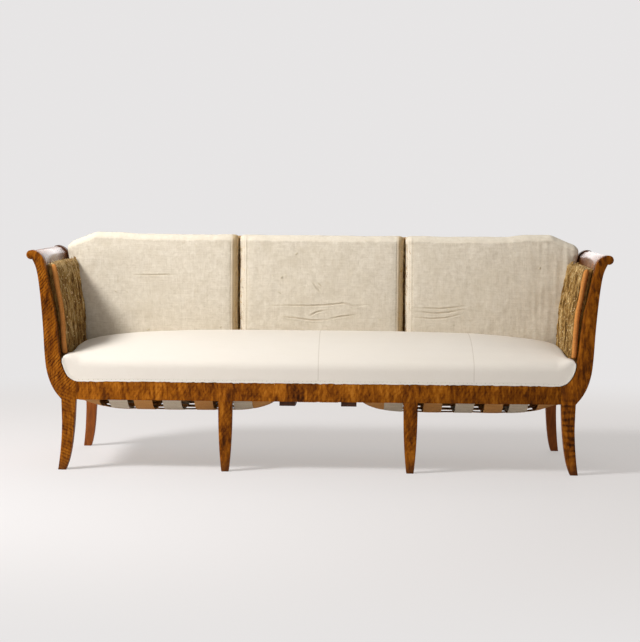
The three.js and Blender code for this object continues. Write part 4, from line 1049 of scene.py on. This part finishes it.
def stitchRows(surface, place):
    # Only the ends beside a gap have rows of stitches
    s = padSet
    (lowX, _, lowZ), (highX, _, highZ) = pads[place]
    bottom, top = lowZ + s["stitchEnds"][0], highZ - s["stitchEnds"][1]
    found = []
    for side, way in ((lowX, 1), (highX, -1)):
        if abs(side) < s["gapSide"]:
            for row in s["rows"]:
                x = side + way * row
                line = [(x, s["stitchDepth"], bottom), (x, s["stitchDepth"], top)]
                found += pathOn(surface, line, s["spacing"], Vector((0, 1, 0)), s["stitchLift"])
    return pointHost("pad_rows_" + place, *zip(*found))


def atGap(face):
    s = padSet
    x, y, z = face.calc_center_median()
    return abs(face.normal.x) > s["frayFacing"] and abs(x) < s["fraySide"] and y < s["frayDepth"]


def buildBackPads():
    s = padSet
    beads = beadTree("pad_stitches", s["stitch"], finishes["thread"])
    slubs = strandTree("pad_slubs", s["slubs"], finishes["slub"])
    fray = strandTree("pad_fray", s["fray"], finishes["wisp"])
    for number, place in enumerate(pads):
        pad = stuffed("back_pad_" + place, "back_linen_" + place, s["voxel"], s["cap"])
        meetAtGaps(pad.data, place)
        if place in sides:
            fillShoulder(pad.data, place)
        refine(pad)
        lumpy(pad.data, s["slack"], s["slackScale"], seed=number)
        lumpy(pad.data, s["fine"], s["fineScale"], seed=number + 7)
        flatBehind(pad.data, place)
        creasePad(pad.data, place)
        grown("pad_stitches_" + place, stitchRows(surfaceOf(pad.data), place), beads)
        front = facesOf(pad.data, "pad_front_" + place, lambda f: f.normal.y < s["frontFacing"])
        grown("pad_slubs_" + place, front, slubs)
        grown("pad_fray_" + place, facesOf(pad.data, "pad_gap_" + place, atGap), fray)
        finishPadded(pad, "back_pad_" + place, "linen")


# Seat: tight muslin, drawn straight down the front and tacked along the rail with its raw edge showing

seatSet = {
    "voxel": 0.0114, "cap": 0.004, "fill": 0.9, "slack": 0.0012, "slackScale": (5.0, 7.0, 9.0),
    "behindFace": 0.0012, "squareFrom": 0.418, "squareFade": 0.050, "endFrom": 0.86, "endFade": 0.04,
    "endLift": 0.030, "frontHalf": -0.25, "facing": (0.05, 0.25),
}
hemSet = {
    "high": 0.0094, "low": 0.0008, "levels": 5, "proud": 0.0004, "full": 0.0002,
    "ragged": 0.0028, "raggedLeast": 0.4, "slowStep": 0.9, "quickStep": 2.7, "quickShare": 0.5,
    "overRail": 0.0005, "step": 0.0040, "ends": 0.800, "cornerHeight": 0.405, "cornerTurns": 14,
    "searchFrom": -0.5, "searchDepth": 0.205, "searchOut": 0.16, "searchSteps": 14,
    "tackSpacing": 0.0125, "tackRow": 2, "tackProud": 0.0004,
    "tack": {"Length": 0.0022, "Width": 0.0016, "Height": 0.0008},
    "threads": {"Density": 1500.0, "Length": 0.011, "Width": 0.0008, "Arch": 0.0020, "Lean": 0.7,
                "Curl": 0.008, "Curl scale": 80.0, "Seed": 3},
}
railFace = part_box("front_rail")[0][1]


def seatHit(surface, x, z):
    # Where a look from the front meets the seat, if it does
    start = Vector((x, hemSet["searchFrom"], z))
    return surface.ray_cast(start, Vector((0, 1, 0)), hemSet["searchDepth"])[0]


def hemPath(surface):
    # The seat's front edge as seen from the front: up one upright, along the rail, up the other
    s = hemSet
    corners = []
    for side in (-1, 1):
        turns = [math.pi / 2 * k / s["cornerTurns"] for k in range(s["cornerTurns"] + 1)]
        corners.append([(side * s["ends"], (side * math.sin(a), -math.cos(a))) for a in turns])
    count = round(s["ends"] / s["step"])
    rail = [(s["ends"] * (2 * k / count - 1), (0.0, -1.0)) for k in range(1, count)]
    found = []
    for x, (dx, dz) in corners[0][::-1] + rail + corners[1]:
        near, out = 0.0, s["searchOut"]
        for _ in range(s["searchSteps"]):
            middle = (near + out) / 2
            hit = seatHit(surface, x + dx * middle, s["cornerHeight"] + dz * middle)
            near, out = (middle, out) if hit else (near, middle)
        found.append((Vector((x + dx * near, 0, s["cornerHeight"] + dz * near)), Vector((dx, 0, dz))))
    return found


def hemRow(surface, number, edge, out):
    # One line of points down the hem, from the seat's cloth to the raw edge on the rail
    s = hemSet
    start = edge - out * s["high"]
    hit = seatHit(surface, start.x, start.z)
    top = hit.y if hit else railFace
    slow = noise.noise(Vector((number * s["slowStep"], 3.3, 0)))
    quick = noise.noise(Vector((number * s["quickStep"], 0, 9)))
    ragged = max(s["ragged"] * (s["raggedLeast"] + slow + s["quickShare"] * quick), -s["low"])
    levels = [-s["high"] * (1 - k / s["levels"]) for k in range(s["levels"] + 1)] + [s["low"]]
    row = []
    for level in levels:
        place = edge + out * (level + (ragged if level == levels[-1] else 0.0))
        t = min(1.0, 1.0 + level / s["high"])
        y = top + (railFace - s["overRail"] - top) * t ** 2 - s["full"] * 4 * t * (1 - t) - s["proud"]
        row.append(Vector((place.x, y, place.z)))
    return row


def buildHem(surface):
    s = hemSet
    rows = [hemRow(surface, number, *place) for number, place in enumerate(hemPath(surface))]
    tacks, gone = [], 0.0
    for before, after in zip(rows, rows[1:]):
        step = after[s["tackRow"]] - before[s["tackRow"]]
        gone += step.length
        if gone > s["tackSpacing"] and abs(step.x) > 2 * abs(step.z):   # only along the rail
            gone = 0.0
            head = after[s["tackRow"]] - Vector((0, s["tackProud"], 0))
            tacks.append((head, step.normalized(), Vector((0, -1, 0))))
    mesh = newMesh("seat_hem", [p for row in rows for p in row], gridFaces(0, len(rows) - 1, len(rows[0])))
    mesh.shade_smooth()
    hem = newPiece("seat_hem", mesh, finishes["hem"])
    beads = beadTree("seat_tacks", s["tack"], finishes["tack"])
    grown("seat_tacks", pointHost("tack_row", *zip(*tacks)), beads)
    threads = strandTree("seat_threads", s["threads"], finishes["hem"])
    grown("seat_threads", mesh.copy(), threads)


def gridFaces(first, rows, wide):
    # Four-cornered faces between rows of points, numbered from the first point
    return [(first + i * wide + k, first + i * wide + k + 1, first + (i + 1) * wide + k + 1,
             first + (i + 1) * wide + k) for i in range(rows) for k in range(wide - 1)]


def squareFront(mesh):
    # The cloth is drawn straight down the front to where it is nailed, level with the rail's face
    s = seatSet
    co, normals = coordinates(mesh), normalsOf(mesh)
    top = s["squareFrom"] + s["endLift"] * np.clip((np.abs(co[:, 0]) - s["endFrom"]) / s["endFade"], 0, 1)
    low = eased(np.clip((top - co[:, 2]) / s["squareFade"], 0, 1))
    least, fade = s["facing"]
    weight = low * np.clip((-normals[:, 1] - least) / fade, 0, 1) * (co[:, 1] < s["frontHalf"])
    co[:, 1] += (railFace + s["behindFace"] - co[:, 1]) * weight
    setCoordinates(mesh, co)


def buildSeat():
    s = seatSet
    seat = stuffed("seat_cushion", "seat_muslin", s["voxel"], s["cap"])
    refine(seat)
    lumpy(seat.data, s["slack"], s["slackScale"])
    squareFront(seat.data)
    surface = surfaceOf(seat.data)
    finishPadded(seat, "seat_cushion", "muslin")
    buildHem(surface)


buildSeat()
buildBackPads()
print("seat and back pads made")


# Arm stuffing: matted fibre over the hessian, with a burlap roll along its front edge

armSet = {
    "voxel": 0.0055, "lumps": 0.0045, "lumpScale": (26.0, 26.0, 9.0), "fill": 0.6,
    "outward": 0.35, "endwise": 0.75, "under": -0.3, "upward": 0.7, "topBand": 0.030,
    "mat": {"Density": 30000.0, "Length": 0.034, "Width": 0.0013, "Arch": 0.0010, "Lean": 0.55,
            "Curl": 0.010, "Curl scale": 55.0, "Seed": 7},
    "flecks": {"Density": 300.0, "Length": 0.007, "Width": 0.0040, "Arch": 0.0030, "Lean": 2.0,
               "Curl": 0.004, "Curl scale": 90.0, "Seed": 21},
    "wisps": {"Density": 14000.0, "Length": 0.016, "Width": 0.0009, "Arch": 0.0018, "Lean": 3.1,
              "Curl": 0.014, "Curl scale": 50.0, "Seed": 33},
}
rollSet = {"voxel": 0.0024, "lumps": 0.0016, "lumpScale": (60.0, 60.0, 22.0), "fill": 0.9}


def buildArmPads():
    s = armSet
    trees = {part: strandTree("arm_" + part, s[part], finishes[finish])
             for part, finish in (("mat", "fibre"), ("flecks", "fleck"), ("wisps", "wisp"))}
    for side, way in sides.items():
        pad = stuffed("arm_pad_" + side, "arm_stuffing_" + side, s["voxel"])
        lumpy(pad.data, s["lumps"], s["lumpScale"], seed=way)
        top = max(v.co.z for v in pad.data.vertices)

        def towardsSeat(face):
            x, y, z = face.normal
            return x * way < s["outward"] and abs(y) < s["endwise"] and z > s["under"]

        shown = facesOf(pad.data, "arm_front_" + side, towardsSeat)
        high = facesOf(shown, "arm_top_" + side, lambda f: f.calc_center_median().z > top - s["topBand"])
        inner = facesOf(shown, "arm_inner_" + side, lambda f: f.normal.z < s["upward"])
        for part, host in (("mat", inner), ("flecks", shown), ("wisps", high)):
            grown("arm_%s_%s" % (part, side), host, trees[part])
        finishPadded(pad, "arm_pad_" + side, "matBase")


def buildEdgeRolls():
    s = rollSet
    for side, way in sides.items():
        roll = stuffed("edge_roll_" + side, "arm_roll_" + side, s["voxel"])
        lumpy(roll.data, s["lumps"], s["lumpScale"], seed=5 + way)
        finishPadded(roll, "edge_roll_" + side, "burlap")


buildArmPads()
buildEdgeRolls()
print("arm stuffing made")


# Webbing, springs and hessian: what carries the seat and the back pads

webSet = {
    "half": 0.0335, "thick": 0.0018, "weave": 0.0012, "step": 0.012, "columns": 8, "lap": 0.026,
    "juteAt": (0.040, 0.205, 0.415, 0.635, 0.827), "linenAt": (0.273, 0.530, 0.725), "longGap": 0.115,
    "sag": 0.054, "middleSag": 0.016, "endsPower": 6, "acrossPower": 4, "clear": 0.0003,
    "underReach": 1.5, "smooth": 40,
    "tack": {"Length": 0.0060, "Width": 0.0060, "Height": 0.0026},
    "tackAcross": (-0.024, -0.008, 0.008, 0.024), "tackIn": 0.009, "tackProud": 0.0005,
    "backUprights": (-0.699, -0.509, -0.095, 0.095, 0.509, 0.699), "backLevels": (0.5402, 0.6902),
}
springSet = {"Radius": 0.0385, "Waist": 0.025, "Wire": 0.0041, "Turns": 4.0, "Sides": 8}
coilSteps, waistPower = 28, 1.5   # points in each turn of a coil, and how sharply it is drawn in
hessianSet = {"cut": 0.020, "sag": 0.0009, "sagScale": (14.0, 14.0, 14.0), "smooth": 50,
              "climb": 1.08}   # the arm's cloth follows the curve, so it is this much longer than it is tall
well = (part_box("front_rail")[1][1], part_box("back_seat_rail")[0][1])
wellMiddle, wellHalf = (well[0] + well[1]) / 2, (well[1] - well[0]) / 2
braceEdges = tuple(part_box("cross_brace_right")[k][0] for k in (0, 1))
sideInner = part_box("side_rail_right")[0][0]


def webHeight(x, y):
    s = webSet
    out = abs(x)
    if out < braceEdges[0]:
        sag = s["middleSag"] * (1 - (out / braceEdges[0]) ** 2)
    elif out < braceEdges[1] or out > sideInner:
        sag = 0.0
    else:
        across = (2 * out - braceEdges[1] - sideInner) / (sideInner - braceEdges[1])
        sag = s["sag"] * (1 - abs(across) ** s["endsPower"])
    deep = 1 - min(1.0, abs(y - wellMiddle) / wellHalf) ** s["acrossPower"]
    return jointHeight - s["clear"] - sag * deep


def lifts(number, others, way):
    # How a strap rises and dips along its run, to pass over and under the others in turn
    s = webSet

    def lift(along):
        total = 0.0
        for k, at in enumerate(others):
            crossing = eased(max(0.0, min(1.0, (s["half"] * s["underReach"] - abs(along - at)) / s["half"])))
            total += crossing if (number + k) % 2 else -crossing
        return way * s["weave"] * total

    return lift


def straps(name, runs, place, slot, replaced=()):
    # A run is its middle, its two ends and its weave; place turns along, across and lift into a point
    s = webSet
    points, faces = [], []
    for middle, low, high, lift in runs:
        rows = max(2, round((high - low) / s["step"]))
        faces += gridFaces(len(points), rows, s["columns"] + 1)
        for i in range(rows + 1):
            along = low + (high - low) * i / rows
            for k in range(s["columns"] + 1):
                across = middle + s["half"] * (2 * k / s["columns"] - 1)
                points.append(place(along, across, lift(along)))
    piece = newPiece(name, newMesh(name, points, faces), finishes[slot])
    modified(piece, "thickness", "SOLIDIFY", thickness=s["thick"], offset=0.0)
    smoothByAngle(piece.data, s["smooth"])
    with edited(piece.data) as shape:
        bmesh.ops.recalc_face_normals(shape, faces=shape.faces)
    if replaced:
        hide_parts(*replaced)


def buildSeatWebbing():
    s = webSet
    long = [wellMiddle + k * s["longGap"] for k in (-1, 0, 1)]
    cross = sorted(side * x for x in s["juteAt"] + s["linenAt"] for side in (-1, 1))
    ends = (well[0] - s["lap"], well[1] + s["lap"])
    reach = sideInner + s["lap"]
    sink = s["clear"] + s["thick"]

    def onSeat(x, y, lift):
        return (x, y, webHeight(x, y) - sink / 2 + lift)

    def acrossSeat(y, x, lift):
        return onSeat(x, y, lift)

    runs = {x: (x, *ends, lifts(i, long, 1)) for i, x in enumerate(cross)}
    jute = [runs[x] for x in cross if abs(x) in s["juteAt"]]
    linen = [runs[x] for x in cross if abs(x) in s["linenAt"]]
    lengthwise = [(y, -reach, reach, lifts(j, cross, -1)) for j, y in enumerate(long)]
    straps("webbing_jute_cross", jute, acrossSeat, "webbing_jute")
    straps("webbing_jute_long", lengthwise, onSeat, "webbing_jute", ["seat_webbing_jute"])
    names = ["seat_webbing_linen_%s_%d" % (side, n) for side in sides for n in (1, 2, 3)]
    straps("webbing_linen", linen, acrossSeat, "webbing_linen", names)
    places = [Vector((x + across, y, jointHeight - sink - s["tackProud"])) for x in cross
              for across in s["tackAcross"] for y in (ends[0] + s["tackIn"], ends[1] - s["tackIn"])]
    host = pointHost("webbing_tack_places", places, [(1, 0, 0)] * len(places), [(0, 0, -1)] * len(places))
    grown("webbing_tacks", host, beadTree("webbing_tacks", s["tack"], finishes["tack"]))


def buildBackWebbing():
    s = webSet
    (lowX, front, lowZ), (highX, back, highZ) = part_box("back_webbing")
    depth = (front + back) / 2
    uprights = [(x, lowZ, highZ, lifts(i, s["backLevels"], 1)) for i, x in enumerate(s["backUprights"])]
    levels = [(z, lowX, highX, lifts(j, s["backUprights"], -1)) for j, z in enumerate(s["backLevels"])]
    straps("back_webbing_uprights", uprights, lambda along, across, lift: (across, depth + lift, along),
           "webbing_jute")
    straps("back_webbing_levels", levels, lambda along, across, lift: (along, depth + lift, across),
           "webbing_jute", ["back_webbing"])


def springTree(sizes, material):
    # A coil drawn in at its waist for each point of the host, as tall as the point's own height
    t = Tree("seat_springs", sizes, material)
    g = t.given
    coil = t.node("GeometryNodeCurveSpiral", {"Resolution": coilSteps, "Rotations": g["Turns"],
                                              "Start Radius": 1.0, "End Radius": 1.0, "Height": 1.0})
    away = t.math("ABSOLUTE", t.node("GeometryNodeSplineParameter")["Factor"] * 2.0 - 1.0)
    radius = t.math("POWER", away, waistPower) * (g["Radius"] - g["Waist"]) + g["Waist"]
    drawn = {0: t.node("GeometryNodeInputPosition"), 1: t.vector(radius, radius, 1.0)}
    waisted = t.moved(coil, Position=t.node("ShaderNodeVectorMath", drawn, operation="MULTIPLY"))
    coils = t.placed(g["Geometry"], waisted, Scale=t.vector(1.0, 1.0, t.named("tall", "FLOAT")))
    real = t.node("GeometryNodeRealizeInstances", {"Geometry": coils})
    return t.output(t.tube(real, g["Sides"], g["Wire"] * 0.5))


def buildSprings():
    names = [node for node in nodes if node.startswith("seat_spring_")]
    wire = springSet["Wire"] / 2
    places, tall = [], []
    for node in names:
        low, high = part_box(node)
        places.append(((low[0] + high[0]) / 2, (low[1] + high[1]) / 2, low[2] + wire))
        tall.append(high[2] - low[2] - 2 * wire)
    host = newMesh("spring_places", places)
    addLayer(host, "tall", tall)
    coils = grown("seat_springs", host, springTree(springSet, finishes["steel"]))
    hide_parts(*names)


def buildHessian(node, along):
    # The CAD cloth cut into small faces, then let sag a little along its thin axis
    s = hessianSet
    mesh = mergedCopy(node, node + "_cloth")
    low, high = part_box(node)
    with edited(mesh) as shape:
        for axis in range(3):
            if axis == along:
                continue
            way = Vector([1.0 if k == axis else 0.0 for k in range(3)])
            for k in range(1, int((high[axis] - low[axis]) / s["cut"])):
                bmesh.ops.bisect_plane(shape, geom=shape.verts[:] + shape.edges[:] + shape.faces[:],
                                       plane_co=Vector(low) + way * s["cut"] * k, plane_no=way)
    co = coordinates(mesh)
    waves = np.array([noise.noise(Vector(p)) for p in co * np.array(s["sagScale"])])
    co[:, along] += (waves - 0.5) * s["sag"]
    setCoordinates(mesh, co)
    smoothByAngle(mesh, s["smooth"])
    piece = newPiece(node + "_cloth", mesh, finishes["hessian"])
    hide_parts(node)


def buildHessians():
    buildHessian("seat_hessian", 2)
    buildHessian("back_hessian", 1)
    for side in sides:
        buildHessian("arm_hessian_" + side, 0)


buildSeatWebbing()
buildBackWebbing()
buildSprings()
buildHessians()
print("webbing, springs and hessian made")
